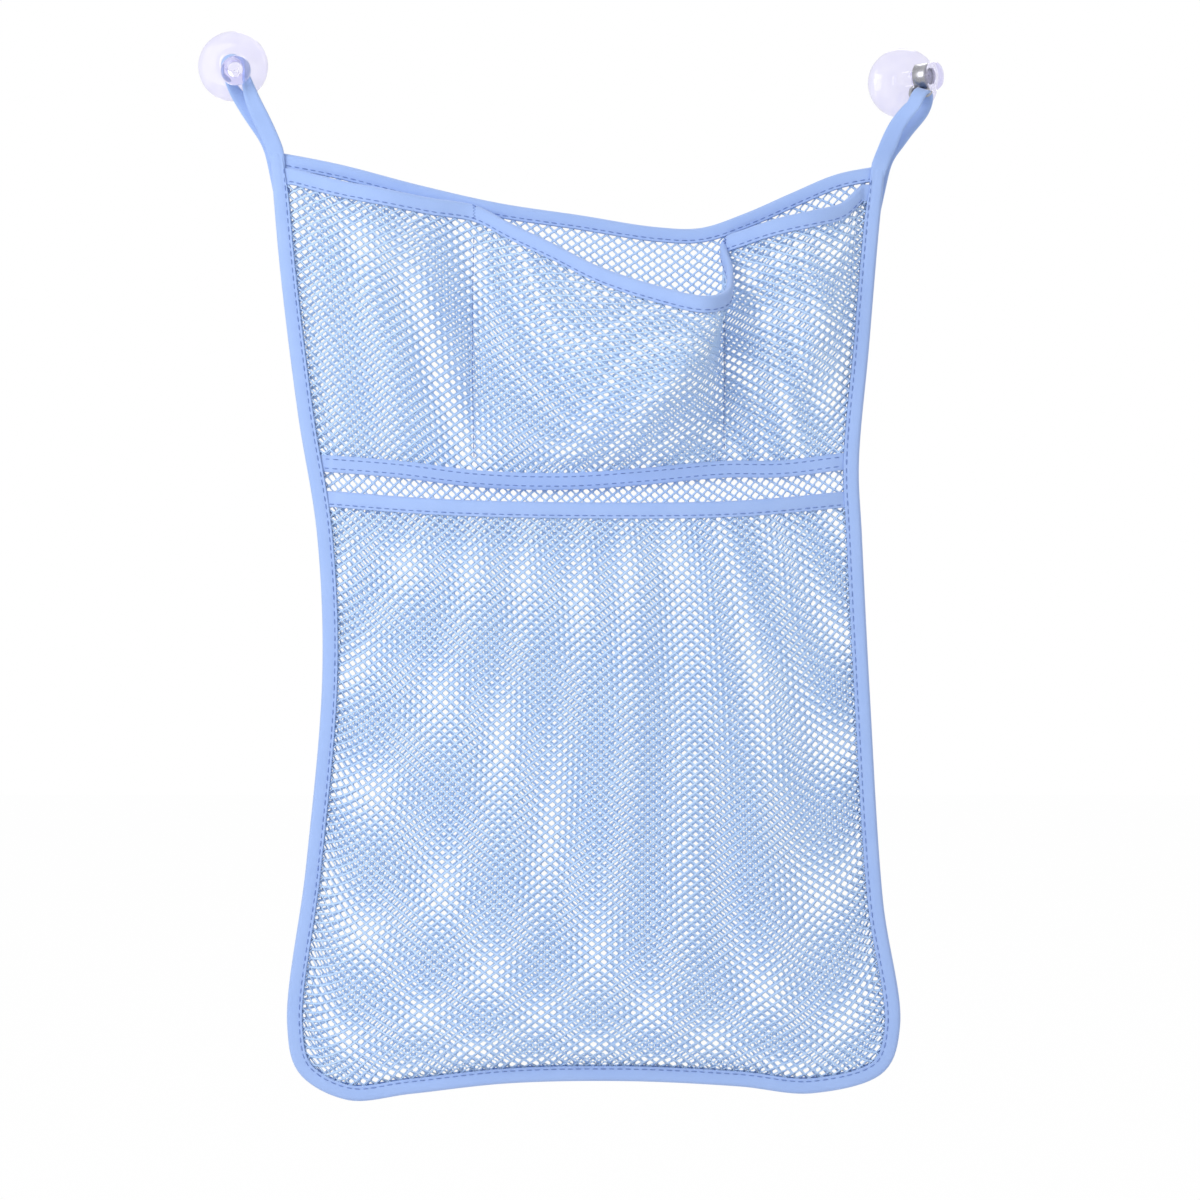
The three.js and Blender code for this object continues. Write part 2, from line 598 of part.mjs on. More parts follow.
// The soft neck leaves the dome square to the wall, bends by its two turns (sideways and up) and ends
// in a mushroom head. Returns its path, with the straight end where the loop or the hook sits.
function neckPath(centre, [sideways, up]) {
  const bend = Math.hypot(sideways, up);
  const side = new THREE.Vector3(sideways / bend, 0, up / bend);
  const out = new THREE.Vector3(0, -1, 0);
  const root = centre.clone().addScaledVector(out, domeHeight - clearance);
  const stations = evenSteps(0, bend, 6).map((angle) => ({
    origin: root.clone().addScaledVector(out, neckBendRadius * Math.sin(angle))
      .addScaledVector(side, neckBendRadius * (1 - Math.cos(angle))),
    across: side.clone().multiplyScalar(Math.cos(angle)).addScaledVector(out, -Math.sin(angle)),
    outward: out.clone().cross(side),
  }));
  const axis = out.clone().multiplyScalar(Math.cos(bend)).addScaledVector(side, Math.sin(bend));
  const seat = stations[stations.length - 1].origin;
  const headInside = seat.clone().addScaledVector(axis, neckLength + 1);
  const end = { ...stations[stations.length - 1], origin: headInside };
  return { stations: [...stations, end], axis, seat };
}

function suctionCup(centre, neck) {
  const slope = (t) => mix(domeTopRadius, cupRadius - rimFlat, t);
  const cup = turned([
    [0, hollowDepth], [cupRadius * 0.5, hollowDepth * 0.85], [cupRadius - rimFlat - 1, hollowDepth * 0.2],
    [cupRadius - rimFlat, 0], [cupRadius, 0], [cupRadius, rimThickness],
    [slope(0.9), mix(rimThickness, domeHeight, 0.22)], [slope(0.5), mix(rimThickness, domeHeight, 0.5)],
    [slope(0.16), mix(rimThickness, domeHeight, 0.78)], [domeTopRadius, domeHeight - 0.5],
    [domeTopRadius - 0.5, domeHeight], [0, domeHeight],
  ], 30, centre, front);
  const stem = sweep(neck.stations, () => roundSection(neckRadius, 14));
  const headFrom = neck.seat.clone().addScaledVector(neck.axis, neckLength);
  const head = turned([
    [0, 0], [neckRadius, 0], [headRadius - 0.6, 0.4], [headRadius, 1.2],
    [headRadius * 0.95, headLength * 0.45], [headRadius * 0.72, headLength * 0.8],
    [headRadius * 0.3, headLength], [0, headLength],
  ], 20, headFrom, neck.axis);
  return fromSolid(toSolid(cup).add(toSolid(stem)).add(toSolid(head)));
}

const leftCupCentre = new THREE.Vector3(-cupSpan / 2, 0, cupTilt);
const rightCupCentre = new THREE.Vector3(cupSpan / 2, 0, -cupTilt);
const leftNeck = neckPath(leftCupCentre, leftNeckTurn);
const rightNeck = neckPath(rightCupCentre, rightNeckTurn);

// Path with rounded corners through a few points.
function roundedPath(points, radius, steps) {
  const path = [points[0]];
  for (let i = 1; i + 1 < points.length; i++) {
    const before = points[i - 1].clone().sub(points[i]).setLength(radius).add(points[i]);
    const after = points[i + 1].clone().sub(points[i]).setLength(radius).add(points[i]);
    const corner = points[i];
    const centre = before.clone().add(after).sub(corner);
    for (const t of evenSteps(0, Math.PI / 2, steps)) {
      path.push(centre.clone().addScaledVector(corner.clone().sub(after), Math.cos(t))
        .addScaledVector(corner.clone().sub(before), Math.sin(t)));
    }
  }
  return [...path, points[points.length - 1]];
}

// Steel hook: the dished collar turns on the neck, and its wire drops, runs out under the head and up.
// The soft neck grips the collar, so that it stands turned a little to the front.
const hookAxis = rightNeck.axis;
const hookSeat = rightNeck.seat.clone().addScaledVector(hookAxis, neckLength - collarLength - clearance);
const hookDown = down.clone().applyAxisAngle(hookAxis, -hookTurn);
const wireSide = hookDown.clone().cross(hookAxis);
const atHook = (along, drop) => hookSeat.clone().addScaledVector(hookAxis, along)
  .addScaledVector(hookDown, drop);

function steelHook() {
  const bore = neckRadius + clearance;
  const collar = turned([
    [bore, collarLength], [bore, collarLength - collarWall],
    [collarRadius - collarWall, collarLength - collarWall],
    [collarRadius - collarWall, 0], [collarRadius, 0], [collarRadius, collarLength - 0.4],
    [collarRadius - 0.4, collarLength], [bore, collarLength],
  ], 28, hookSeat, hookAxis);
  const rootDrop = collarRadius - wireRadius;
  const path = roundedPath([
    atHook(wireRadius, rootDrop), atHook(-troughBack, rootDrop), atHook(-troughBack, troughDrop),
    atHook(troughWidth - troughBack, troughDrop), atHook(troughWidth - troughBack, hookTipDrop),
  ], troughCorner, 4);
  const stations = path.map((origin, i) => {
    const tangent = (path[i + 1] ?? origin).clone().sub(path[i - 1] ?? origin).normalize();
    return { origin, across: wireSide, outward: wireSide.clone().cross(tangent) };
  });
  return fromSolid(toSolid(collar).add(toSolid(sweep(stations, () => roundSection(wireRadius, 10)))));
}

// Hanging loop: tape over a seat, its two strands turning about their middle line until they lie
// one behind the other at the bag's corner, and their ends are cut level. The seat's axis is the direction
// the tape's width takes there.
function hangingLoop(seat, seatAxis, radius, saddleWidth, foot, turn) {
  const away = foot.clone().sub(seat);
  const reach = away.length();
  const leave = away.clone().addScaledVector(seatAxis, -away.dot(seatAxis)).normalize();
  const middle = new THREE.CubicBezierCurve3(
    seat,
    seat.clone().addScaledVector(leave, reach * 0.16),
    foot.clone().lerp(seat, 0.4).addScaledVector(front, loopForward),
    foot,
  );
  const half = radius + loopTapeThickness / 2;
  const frameAt = (t) => {
    const along = middle.getTangent(t);
    const sideTop = along.clone().cross(seatAxis).normalize();
    const sideFoot = new THREE.Vector3(0, -turn, 0).addScaledVector(along, turn * along.y).normalize();
    const angle = Math.acos(THREE.MathUtils.clamp(sideTop.dot(sideFoot), -1, 1));
    const sense = Math.sign(sideTop.clone().cross(sideFoot).dot(along)) || 1;
    const side = sideTop.applyAxisAngle(along, sense * angle * smooth(0, 0.8, t));
    const width = side.clone().cross(along);
    const level = smooth(0.6, 1, t);
    side.lerp(new THREE.Vector3(0, -turn, 0), level).normalize();
    width.lerp(new THREE.Vector3(turn, 0, 0), level).normalize();
    return { along, side, width };
  };
  const strand = (t, sign) => {
    const { side, width } = frameAt(t);
    const spread = mix(half, loopPly, smooth(0.05, 0.85, t));
    return {
      origin: middle.getPoint(t).addScaledVector(side, sign * spread)
        .addScaledVector(width, -turn * sign * loopShift * smooth(0.3, 1, t)),
      across: width,
      outward: side.clone().multiplyScalar(sign),
    };
  };
  const top = frameAt(0);
  const arch = inner(evenSteps(0, Math.PI, 10)).map((angle) => {
    const outward = top.side.clone().multiplyScalar(-Math.cos(angle))
      .addScaledVector(top.along, -Math.sin(angle));
    return { origin: seat.clone().addScaledVector(outward, half), across: top.width, outward };
  });
  const strandSteps = evenSteps(0, 1, 14);
  const stations = [
    ...[...strandSteps].reverse().map((t) => strand(t, -1)),
    ...arch,
    ...strandSteps.map((t) => strand(t, 1)),
  ];
  const strandCount = strandSteps.length;
  const widthAt = (share) => {
    const i = Math.round(share * (stations.length - 1));
    const after = i - strandCount - arch.length;
    const t = i < strandCount ? strandSteps[strandCount - 1 - i] : strandSteps[after] ?? 0;
    return mix(saddleWidth, loopTapeWidth, smooth(0.2, 0.8, t));
  };
  return sweep(stations, (share) => {
    const width = widthAt(share) / 2;
    return flatTape(-width, width, -loopTapeThickness / 2, loopTapeThickness / 2);
  });
}

// The loops end just above the bag's corners, where the tape folds when the bag swings off the wall.
const tailMiddle = loopTapeWidth / 2 - tailOverhang;
const plyMiddle = tailFront - loopTapeThickness / 2 + loopPly;
const footInset = tailMiddle - loopLean + loopShift;
const leftFootPoint = new THREE.Vector3(leftCorner[0] + footInset, -plyMiddle, leftCorner[1] + hingeGap);
const rightFootPoint = new THREE.Vector3(rightCorner[0] - footInset, -plyMiddle, rightCorner[1] + hingeGap);
const leftSeat = leftNeck.seat.clone().addScaledVector(leftNeck.axis, leftSeatAlong);
const leftLoop = hangingLoop(
  leftSeat, leftNeck.axis, neckRadius + clearance, leftSaddleWidth, leftFootPoint, -1,
);
const crownDrop = hookLoopRadius - wireRadius - hookLoopGap;
const rightSeat = atHook(troughWidth / 2 - troughBack, troughDrop).addScaledVector(down, crownDrop);
const rightLoop = hangingLoop(rightSeat, hookAxis, hookLoopRadius, rightSaddleWidth, rightFootPoint, 1);

// Finishes, one material for each piece.
const finish = (color, roughness, metalness, opacity = 1) => new THREE.MeshStandardMaterial({
  color, roughness, metalness, opacity, transparent: opacity < 1,
});
const net = () => finish(0xb9d2f2, 0.65, 0);
const tape = () => finish(0xa9c4f5, 0.75, 0);
const clearVinyl = () => finish(0xe6e6f8, 0.15, 0, 0.55);
const steel = () => finish(0xa8a9b3, 0.22, 1);

const organizer = new THREE.Group();
organizer.name = "bath_toy_organizer";

function addPiece(name, geometry, material) {
  const piece = new THREE.Mesh(geometry, material);
  piece.name = name;
  organizer.add(piece);
}

addPiece("left_cup", suctionCup(leftCupCentre, leftNeck), clearVinyl());
addPiece("right_cup", suctionCup(rightCupCentre, rightNeck), clearVinyl());
addPiece("steel_hook", steelHook(), steel());
addPiece("left_loop", leftLoop, tape());
addPiece("right_loop", rightLoop, tape());
addPiece("left_loop_tail", leftLoopTail, tape());
addPiece("right_loop_tail", rightLoopTail, tape());
addPiece("back_panel", backPanel, net());
addPiece("upper_pocket_panel", upperPocketPanel, net());
addPiece("lower_pocket_panel", lowerPocketPanel, net());
addPiece("edge_binding", edgeBinding, tape());
addPiece("top_binding", topBinding, tape());
addPiece("upper_pocket_lip", upperPocketLip, tape());
addPiece("upper_pocket_base_tape", upperPocketBaseTape, tape());
addPiece("lower_pocket_lip", lowerPocketLip, tape());

export default organizer;
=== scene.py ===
"""A hanging net bag for bath toys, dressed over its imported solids: knitted nets, folded tapes with their
stitches, tape loops, two clear suction cups and a small steel hook. The bag's sizes are in millimetres."""

import bpy
import numpy as np
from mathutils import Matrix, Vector


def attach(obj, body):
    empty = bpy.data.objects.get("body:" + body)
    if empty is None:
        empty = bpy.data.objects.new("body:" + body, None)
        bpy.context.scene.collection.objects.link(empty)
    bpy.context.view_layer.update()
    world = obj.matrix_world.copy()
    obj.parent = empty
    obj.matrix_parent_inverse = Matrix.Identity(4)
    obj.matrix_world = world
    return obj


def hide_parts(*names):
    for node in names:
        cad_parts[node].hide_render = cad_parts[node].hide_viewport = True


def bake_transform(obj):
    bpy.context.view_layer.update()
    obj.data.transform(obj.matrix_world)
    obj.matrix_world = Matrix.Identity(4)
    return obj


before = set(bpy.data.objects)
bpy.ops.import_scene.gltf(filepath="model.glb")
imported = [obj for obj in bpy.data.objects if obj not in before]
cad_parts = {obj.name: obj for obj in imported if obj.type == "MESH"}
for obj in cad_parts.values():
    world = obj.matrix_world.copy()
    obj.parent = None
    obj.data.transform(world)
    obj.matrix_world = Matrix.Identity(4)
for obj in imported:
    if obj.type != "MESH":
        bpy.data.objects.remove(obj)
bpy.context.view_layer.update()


# Studio, in metres. The bag hangs flat, so the camera looks at it squarely from a little over a metre away.
# A pale floor lies below it, a soft sky lights it from all round and three soft lamps give it form.
view_distance = 1.3
view_width = 0.6
view_centre = (0.016, -0.2625)
sky_strength = 0.56
white = (1.0, 1.0, 1.0, 1.0)
lamps = {
    "key": ((-0.75, -1.0, 0.25), 0.9, 10.5),
    "fill": ((1.3, -1.2, -0.2), 1.2, 3.0),
    "back": ((0.3, 1.1, 1.5), 1.2, 12.0),
}
floor_height = -0.66
floor_reach = 4.0
floor_colour = (0.86, 0.86, 0.87, 1.0)
floor_roughness = 0.9
floor_glow_share = 0.985


class Shade:
    """An output socket of a node tree. Sums and products of values add Math nodes."""

    def __init__(self, tree, socket=None):
        self.tree = tree
        self.socket = socket

    def node(self, kind, inputs, settings=None, output=0):
        """Any other node: its settings come first, then the values or links of its sockets."""
        made = self.tree.nodes.new(kind)
        for name, value in (settings or {}).items():
            setattr(made, name, value)
        for key, value in inputs.items():
            if isinstance(value, Shade):
                value.into(made.inputs[key])
            else:
                made.inputs[key].default_value = value
        return Shade(self.tree, made.outputs[output])

    def into(self, socket):
        self.tree.links.new(self.socket, socket)

    def math(self, operation, first, second=0.0):
        return self.node("ShaderNodeMath", {0: first, 1: second}, {"operation": operation})

    def __add__(self, other):
        return self.math("ADD", self, other)

    def __mul__(self, other):
        return self.math("MULTIPLY", self, other)

    __radd__ = __add__
    __rmul__ = __mul__

    def sine(self):
        return self.math("SINE", self)

    def blend(self, low, high):
        """Colour between two others, by this value."""
        return self.node("ShaderNodeMix", {0: self, 6: low, 7: high}, {"data_type": "RGBA"}, 2)


def seen_directly(tree):
    """One where the eye, gloss or clear vinyl looks at the backdrop, and nothing where it only lights."""
    start = Shade(tree)
    rays = ("Is Camera Ray", "Is Glossy Ray", "Is Transmission Ray")
    camera_ray, glossy_ray, clear_ray = (start.node("ShaderNodeLightPath", {}, output=ray) for ray in rays)
    return start.math("MINIMUM", camera_ray + glossy_ray + clear_ray, 1.0)


scene = bpy.context.scene
world = bpy.data.worlds.new("studio")
scene.world = world
world.use_nodes = True
sky = world.node_tree.nodes["Background"]
sky.inputs["Color"].default_value = white
(seen_directly(world.node_tree) * (1 - sky_strength) + sky_strength).into(sky.inputs["Strength"])

for name, (place, size, power) in lamps.items():
    lamp = bpy.data.lights.new(name, "AREA")
    lamp.size = size
    lamp.energy = power
    lamp_object = bpy.data.objects.new(name, lamp)
    lamp_object.location = place
    aim = Vector((view_centre[0], 0, view_centre[1])) - lamp_object.location
    lamp_object.rotation_euler = aim.to_track_quat("-Z", "Y").to_euler()
    scene.collection.objects.link(lamp_object)

camera = bpy.data.objects.new("camera", bpy.data.cameras.new("camera"))
camera.data.lens = camera.data.sensor_width * view_distance / view_width
camera.location = (view_centre[0], -view_distance, view_centre[1])
camera.rotation_euler = (np.pi / 2, 0, 0)
scene.collection.objects.link(camera)
scene.camera = camera
scene.view_settings.view_transform = "Standard"

floor_mesh = bpy.data.meshes.new("floor")
floor_square = floor_reach * np.array([(-1, -1), (1, -1), (1, 1), (-1, 1)])
floor_mesh.from_pydata([(x, y, floor_height) for x, y in floor_square], [], [(0, 1, 2, 3)])
floor = bpy.data.objects.new("floor", floor_mesh)
scene.collection.objects.link(floor)
floor_finish = bpy.data.materials.new("pale_floor")
floor_finish.use_nodes = True
floor_tree = floor_finish.node_tree
floor_matt = floor_tree.nodes["Principled BSDF"]
floor_matt.inputs["Base Color"].default_value = floor_colour
floor_matt.inputs["Roughness"].default_value = floor_roughness
floor_shown = seen_directly(floor_tree)
floor_glow = floor_shown.node("ShaderNodeEmission", {"Color": white, "Strength": 1.0})
floor_looks = {0: floor_shown * floor_glow_share, 1: Shade(floor_tree, floor_matt.outputs[0]), 2: floor_glow}
floor_surface = floor_tree.nodes["Material Output"].inputs["Surface"]
floor_shown.node("ShaderNodeMixShader", floor_looks).into(floor_surface)
floor_mesh.materials.append(floor_finish)


# Back panel. One piece of knitted polyester diamond net, cut to the bag's outline; its cut edges are hidden
# in the binding and the hem that are sewn over them.
mm = 0.001
left_corner = (-148.5, -38.5)
left_side = [(-143.5, -97), (-134.5, -170), (-125, -230), (-122.4, -300), (-130.5, -395), (-139.9, -474)]
left_foot = (-134.0, -498.0)
bottom_edge = [(-110, -511.5), (-78, -508.5), (-30, -503.3), (30, -502.2), (85, -504.8), (122, -508.2)]
right_foot = (157.5, -497.5)
right_side = [(165.5, -475), (157, -412), (150.5, -310), (146.5, -230), (145, -195), (150, -137),
              (154.8, -80)]
right_corner = (158.3, -45.5)
top_edge = [(-114, -45.2), (-74, -55.6), (-34, -64.6), (6, -70.6), (44, -76.5), (66, -77), (88, -69.8),
            (112, -59.3), (134, -50.2)]
back_plane = 3.5
back_edge_inset = 4.5
back_top_inset = 3.0
back_width = 288
back_height = 438
slack_depth = 0.7
slack_margin = 0.125
strand_width = 1.05
strand_depth = 0.6
gap_width = 5.7
gap_height = 4.7
gap_corners = np.array([(-0.8, -0.2), (0, -1), (0.8, -0.2), (0.8, 0.2), (0, 1), (-0.8, 0.2)])
gap_shares = (0.25, 0.85)
run_density = 60
slope_step = 1e-3


def spline(points, at):
    """Centripetal Catmull-Rom curve through points, at parameters counted in points from 0."""
    points = np.asarray(points, float)
    points = np.vstack([2 * points[0] - points[1], points, 2 * points[-1] - points[-2]])
    span = np.clip(np.floor(at).astype(int), 0, len(points) - 4)
    w = (at - span)[:, None]
    p0, p1, p2, p3 = (points[span + k] for k in range(4))
    d0, d1, d2 = (np.sqrt(np.linalg.norm(gap, axis=1))[:, None] for gap in (p1 - p0, p2 - p1, p3 - p2))
    t1 = ((p1 - p0) / d0 - (p2 - p0) / (d0 + d1) + (p2 - p1) / d1) * d1
    t2 = ((p2 - p1) / d1 - (p3 - p1) / (d1 + d2) + (p3 - p2) / d2) * d1
    return p1 + t1 * w + (3 * (p2 - p1) - 2 * t1 - t2) * w**2 + (2 * (p1 - p2) + t1 + t2) * w**3


def run_length(run):
    """Distance along a run at each of its points."""
    return np.concatenate([[0], np.cumsum(np.linalg.norm(np.diff(run, axis=0), axis=1))])


def even_run(points):
    """The curve through points, cut into even steps of about a millimetre."""
    dense = spline(points, np.linspace(0, len(points) - 1, run_density * len(points)))
    length = run_length(dense)
    places = np.linspace(0, length[-1], int(round(length[-1])) + 1)
    return np.stack([np.interp(places, length, column) for column in dense.T], -1)


def unit(vectors):
    return vectors / np.linalg.norm(vectors, axis=-1, keepdims=True)


def left_hand(run):
    """Direction to the left of a flat run of (x, z) points, square to it."""
    along = unit(np.gradient(run, axis=0))
    return np.stack([-along[:, 1], along[:, 0]], -1)


outline = even_run([left_corner, *left_side, left_foot, *bottom_edge, right_foot, *right_side, right_corner])
hem_line = even_run([left_corner, *top_edge, right_corner][::-1])
feet_at = [np.argmin(np.linalg.norm(outline - foot, axis=1)) for foot in (left_foot, right_foot)]


def inset_edges(distance):
    """The outline moved inwards: x at a height on the left and right, height at an x on bottom and top."""
    moved = outline + distance * left_hand(outline)
    hem = (hem_line + distance * left_hand(hem_line))[::-1]
    left, bottom, right = moved[: feet_at[0] + 1], moved[feet_at[0]: feet_at[1] + 1], moved[feet_at[1]:]
    return {
        "left": lambda z: np.interp(z, left[::-1, 1], left[::-1, 0]),
        "right": lambda z: np.interp(z, right[:, 1], right[:, 0]),
        "bottom": lambda x: np.interp(x, bottom[:, 0], bottom[:, 1]),
        "top": lambda x: np.interp(x, hem[:, 0], hem[:, 1]),
        "feet": (left[-1], right[0]),
    }


def mix(low, high, share):
    return low + (high - low) * share


def coons(u, v, left, right, bottom, top):
    """Patch between four flat edges: both pairs of opposite edges blended, less the blend of the corners."""
    low, high = ((1 - u)[:, None] * left(end) + u[:, None] * right(end) for end in (np.zeros(1), np.ones(1)))
    sides = (1 - u)[:, None] * left(v) + u[:, None] * right(v)
    return sides + (1 - v)[:, None] * (bottom(u) - low) + v[:, None] * (top(u) - high)


def side_edge(edge, low, high):
    """Curve up a side, given as an x at a height, from one height to another, by a share from 0 to 1."""
    return lambda s: np.stack([edge(mix(low, high, s)), mix(low, high, s)], -1)


def level_edge(edge, first, last):
    """Curve across the bag, given as a height at an x, from one x to another, by a share from 0 to 1."""
    return lambda s: np.stack([mix(first, last, s), edge(mix(first, last, s))], -1)


def edged_patch(u, v, edges, top_x, top_z, top_line):
    """Flat patch inside the side and bottom edges, up to a line with the given ends."""
    (first_x, first_z), (last_x, last_z) = edges["feet"]
    left, right = side_edge(edges["left"], first_z, top_z[0]), side_edge(edges["right"], last_z, top_z[1])
    bottom = level_edge(edges["bottom"], first_x, last_x)
    return coons(u, v, left, right, bottom, level_edge(top_line, *top_x))


def in_space(flat, depth):
    """Flat (x, z) points set in front of the wall by a depth."""
    return np.stack([flat[:, 0], -np.broadcast_to(depth, len(flat)), flat[:, 1]], -1)


def make_piece(name, points, faces, finish, along_across=None):
    """Mesh object from points in millimetres and arrays of equal-sized faces, turned so that they face out.
    along_across is a map of the surface in millimetres along and across a tape."""
    volume = sum(
        np.einsum("ij,ij->", points[f[:, 0]], np.cross(points[f[:, k]], points[f[:, k + 1]]))
        for f in faces for k in range(1, f.shape[1] - 1)
    )
    faces = [f[:, ::-1] if volume < 0 else f for f in faces]
    corners = np.concatenate([f.ravel() for f in faces]).astype(np.int32)
    sizes = np.concatenate([np.full(len(f), f.shape[1]) for f in faces])
    mesh = bpy.data.meshes.new(name)
    mesh.vertices.add(len(points))
    mesh.vertices.foreach_set("co", (points * mm).astype(np.float32).ravel())
    mesh.loops.add(len(corners))
    mesh.loops.foreach_set("vertex_index", corners)
    mesh.polygons.add(len(sizes))
    mesh.polygons.foreach_set("loop_start", np.concatenate([[0], np.cumsum(sizes)[:-1]]).astype(np.int32))
    mesh.polygons.foreach_set("use_smooth", np.ones(len(sizes), bool))
    if along_across is not None:
        layer = mesh.uv_layers.new(name="along_across")
        layer.data.foreach_set("uv", along_across[corners].astype(np.float32).ravel())
    mesh.update(calc_edges=True)
    mesh.materials.append(finish)
    made = bpy.data.objects.new(name, mesh)
    scene.collection.objects.link(made)
    return made


def fit(piece, body, node):
    """A piece that moves with a body and stands for a node's solid."""
    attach(piece, body)
    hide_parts(node)


def diamond_net(name, node, surface, columns, rows):
    """Net over a surface of two parameters. Knots stand where column and row numbers add up to an even sum,
    and the places between them are six-sided gaps. A strand is a lens: a ridge in front and behind from knot
    to knot, and sharp edges round the gaps. Half gaps along the border are closed."""
    i, j = np.meshgrid(np.arange(len(columns)), np.arange(len(rows)), indexing="ij")
    a, v = columns[i].ravel(), rows[j].ravel()
    points = surface(a, v)
    slope_a = surface(a + slope_step, v) - surface(a - slope_step, v)
    slope_v = surface(a, v + slope_step) - surface(a, v - slope_step)
    normal = unit(np.cross(slope_a, slope_v))
    knot = ((i + j) % 2 == 0).ravel()
    count = knot.sum()
    number = np.full(knot.size, -1)
    number[knot] = np.arange(count)
    number = number.reshape(i.shape)
    ridge = strand_depth / 2 * normal[knot]
    grid = points.reshape(*i.shape, 3)

    mi, mj = np.nonzero((i + j) % 2 == 1)
    inside = (mi > 0) & (mi < len(columns) - 1) & (mj > 0) & (mj < len(rows) - 1)
    mi, mj = mi[inside], mj[inside]
    half_width = np.linalg.norm(grid[mi + 1, mj] - grid[mi - 1, mj], axis=1) / 2
    half_height = np.linalg.norm(grid[mi, mj + 1] - grid[mi, mj - 1], axis=1) / 2
    reach = half_width * half_height / np.hypot(half_width, half_height)
    opening = np.clip(1 - strand_width / 2 / reach, *gap_shares)[:, None]
    gap_a = columns[mi, None] + opening * gap_corners[:, 0] * (columns[mi + 1] - columns[mi - 1])[:, None] / 2
    gap_v = rows[mj, None] + opening * gap_corners[:, 1] * (rows[mj + 1] - rows[mj - 1])[:, None] / 2
    gap = surface(gap_a.ravel(), gap_v.ravel())
    hole = 2 * count + np.arange(len(gap)).reshape(-1, len(gap_corners)).T
    left, below, right, above = number[mi - 1, mj], number[mi, mj - 1], number[mi + 1, mj], number[mi, mj + 1]
    stacked = lambda faces: np.concatenate([np.stack(face, -1) for face in faces])

    def strands(shift):
        """Quads from knot to knot beside the gap, and a triangle at its left and right ends."""
        l, b, r, t = left + shift, below + shift, right + shift, above + shift
        low = [(l, b, hole[1], hole[0]), (b, r, hole[2], hole[1])]
        high = [(r, t, hole[4], hole[3]), (t, l, hole[5], hole[4])]
        return stacked(low + high), stacked([(l, hole[0], hole[5]), (r, hole[3], hole[2])])

    front_quads, front_ends = strands(0)
    back_quads, back_ends = strands(count)
    odd_i, odd_j = (np.arange(1, len(lines) - 1, 2) for lines in (columns, rows))
    border = stacked([
        (number[0, odd_j + 1], number[0, odd_j - 1], number[1, odd_j]),
        (number[-1, odd_j - 1], number[-1, odd_j + 1], number[-2, odd_j]),
        (number[odd_i - 1, 0], number[odd_i + 1, 0], number[odd_i, 1]),
        (number[odd_i + 1, -1], number[odd_i - 1, -1], number[odd_i, -2]),
    ])
    walls = np.stack([border[:, 1], border[:, 0], border[:, 0] + count, border[:, 1] + count], -1)
    quads = np.concatenate([front_quads, back_quads[:, ::-1], walls])
    triangles = np.concatenate([front_ends, back_ends[:, ::-1], border, border[:, ::-1] + count])
    corners = np.vstack([points[knot] + ridge, points[knot] - ridge, gap])
    net = make_piece(name, corners, [quads, triangles], net_yarn)
    fit(net, "bag", node)
    return net


def net_lines(first, last, length, gap):
    """Parameters of a net's lines from first to last: an even number of half gaps in a length."""
    return np.linspace(first, last, 2 * int(round(length / gap)) + 1)


def linear(red, green, blue):
    """Scene colour of a colour given in 0 to 255 as a screen shows it."""
    screen = np.array([red, green, blue]) / 255
    light = np.where(screen <= 0.04045, screen / 12.92, ((screen + 0.055) / 1.055) ** 2.4)
    return (*light.tolist(), 1.0)


def noise(place, size, detail=2.0):
    """Cloudy pattern from 0 to 1 whose patches are about size millimetres."""
    return place.node("ShaderNodeTexNoise", {"Vector": place, "Scale": 1 / (size * mm), "Detail": detail})


def raised(height, depth, strength):
    """Surface normal bent by a height from 0 to 1 that stands for a depth in millimetres."""
    return height.node("ShaderNodeBump", {"Height": height, "Distance": depth * mm, "Strength": strength})


def new_finish(name, constants, pattern):
    """Material with constant inputs, and inputs that a pattern works out from Object coordinates."""
    finish = bpy.data.materials.new(name)
    finish.use_nodes = True
    shader = finish.node_tree.nodes["Principled BSDF"]
    for key, value in constants.items():
        shader.inputs[key].default_value = value
    place = Shade(finish.node_tree).node("ShaderNodeTexCoord", {}, output="Object")
    for key, value in pattern(place).items():
        value.into(shader.inputs[key])
    return finish


def yarn(place):
    """Pale blue textured polyester yarn: fibres as fine noise, faint cloudy shade."""
    cloud = noise(place, 26.0)
    fibre = noise(place, 0.22, 3.0)
    return {
        "Base Color": (cloud * 0.55 + fibre * 0.45).blend(linear(166, 201, 249), linear(206, 229, 255)),
        "Roughness": fibre * 0.25 + 0.5,
        "Normal": raised(fibre, 0.12, 0.7),
    }


net_yarn = new_finish("net_yarn", {"Sheen Weight": 0.25, "Sheen Roughness": 0.4}, yarn)
back_edges = inset_edges(back_edge_inset)
back_top = inset_edges(back_top_inset)["top"]
back_top_z = [corner[1] - back_top_inset for corner in (left_corner, right_corner)]
back_top_x = [back_edges[side](z) for side, z in zip(("left", "right"), back_top_z)]


def back_surface(u, v):
    """Flat patch inside the outline, with faint crossed waves where the net is a little slack."""
    flat = edged_patch(u, v, back_edges, back_top_x, back_top_z, back_top)
    slack = np.clip(np.minimum(np.minimum(u, 1 - u), np.minimum(v, 1 - v)) / slack_margin, 0, 1)
    return in_space(flat, back_plane + slack_depth * slack * np.sin(9 * u + 5 * v) * np.sin(7 * v - 2 * u))


back_columns, back_rows = net_lines(0, 1, back_width, gap_width), net_lines(0, 1, back_height, gap_height)
back_net = diamond_net("back_net", "back_panel", back_surface, back_columns, back_rows)


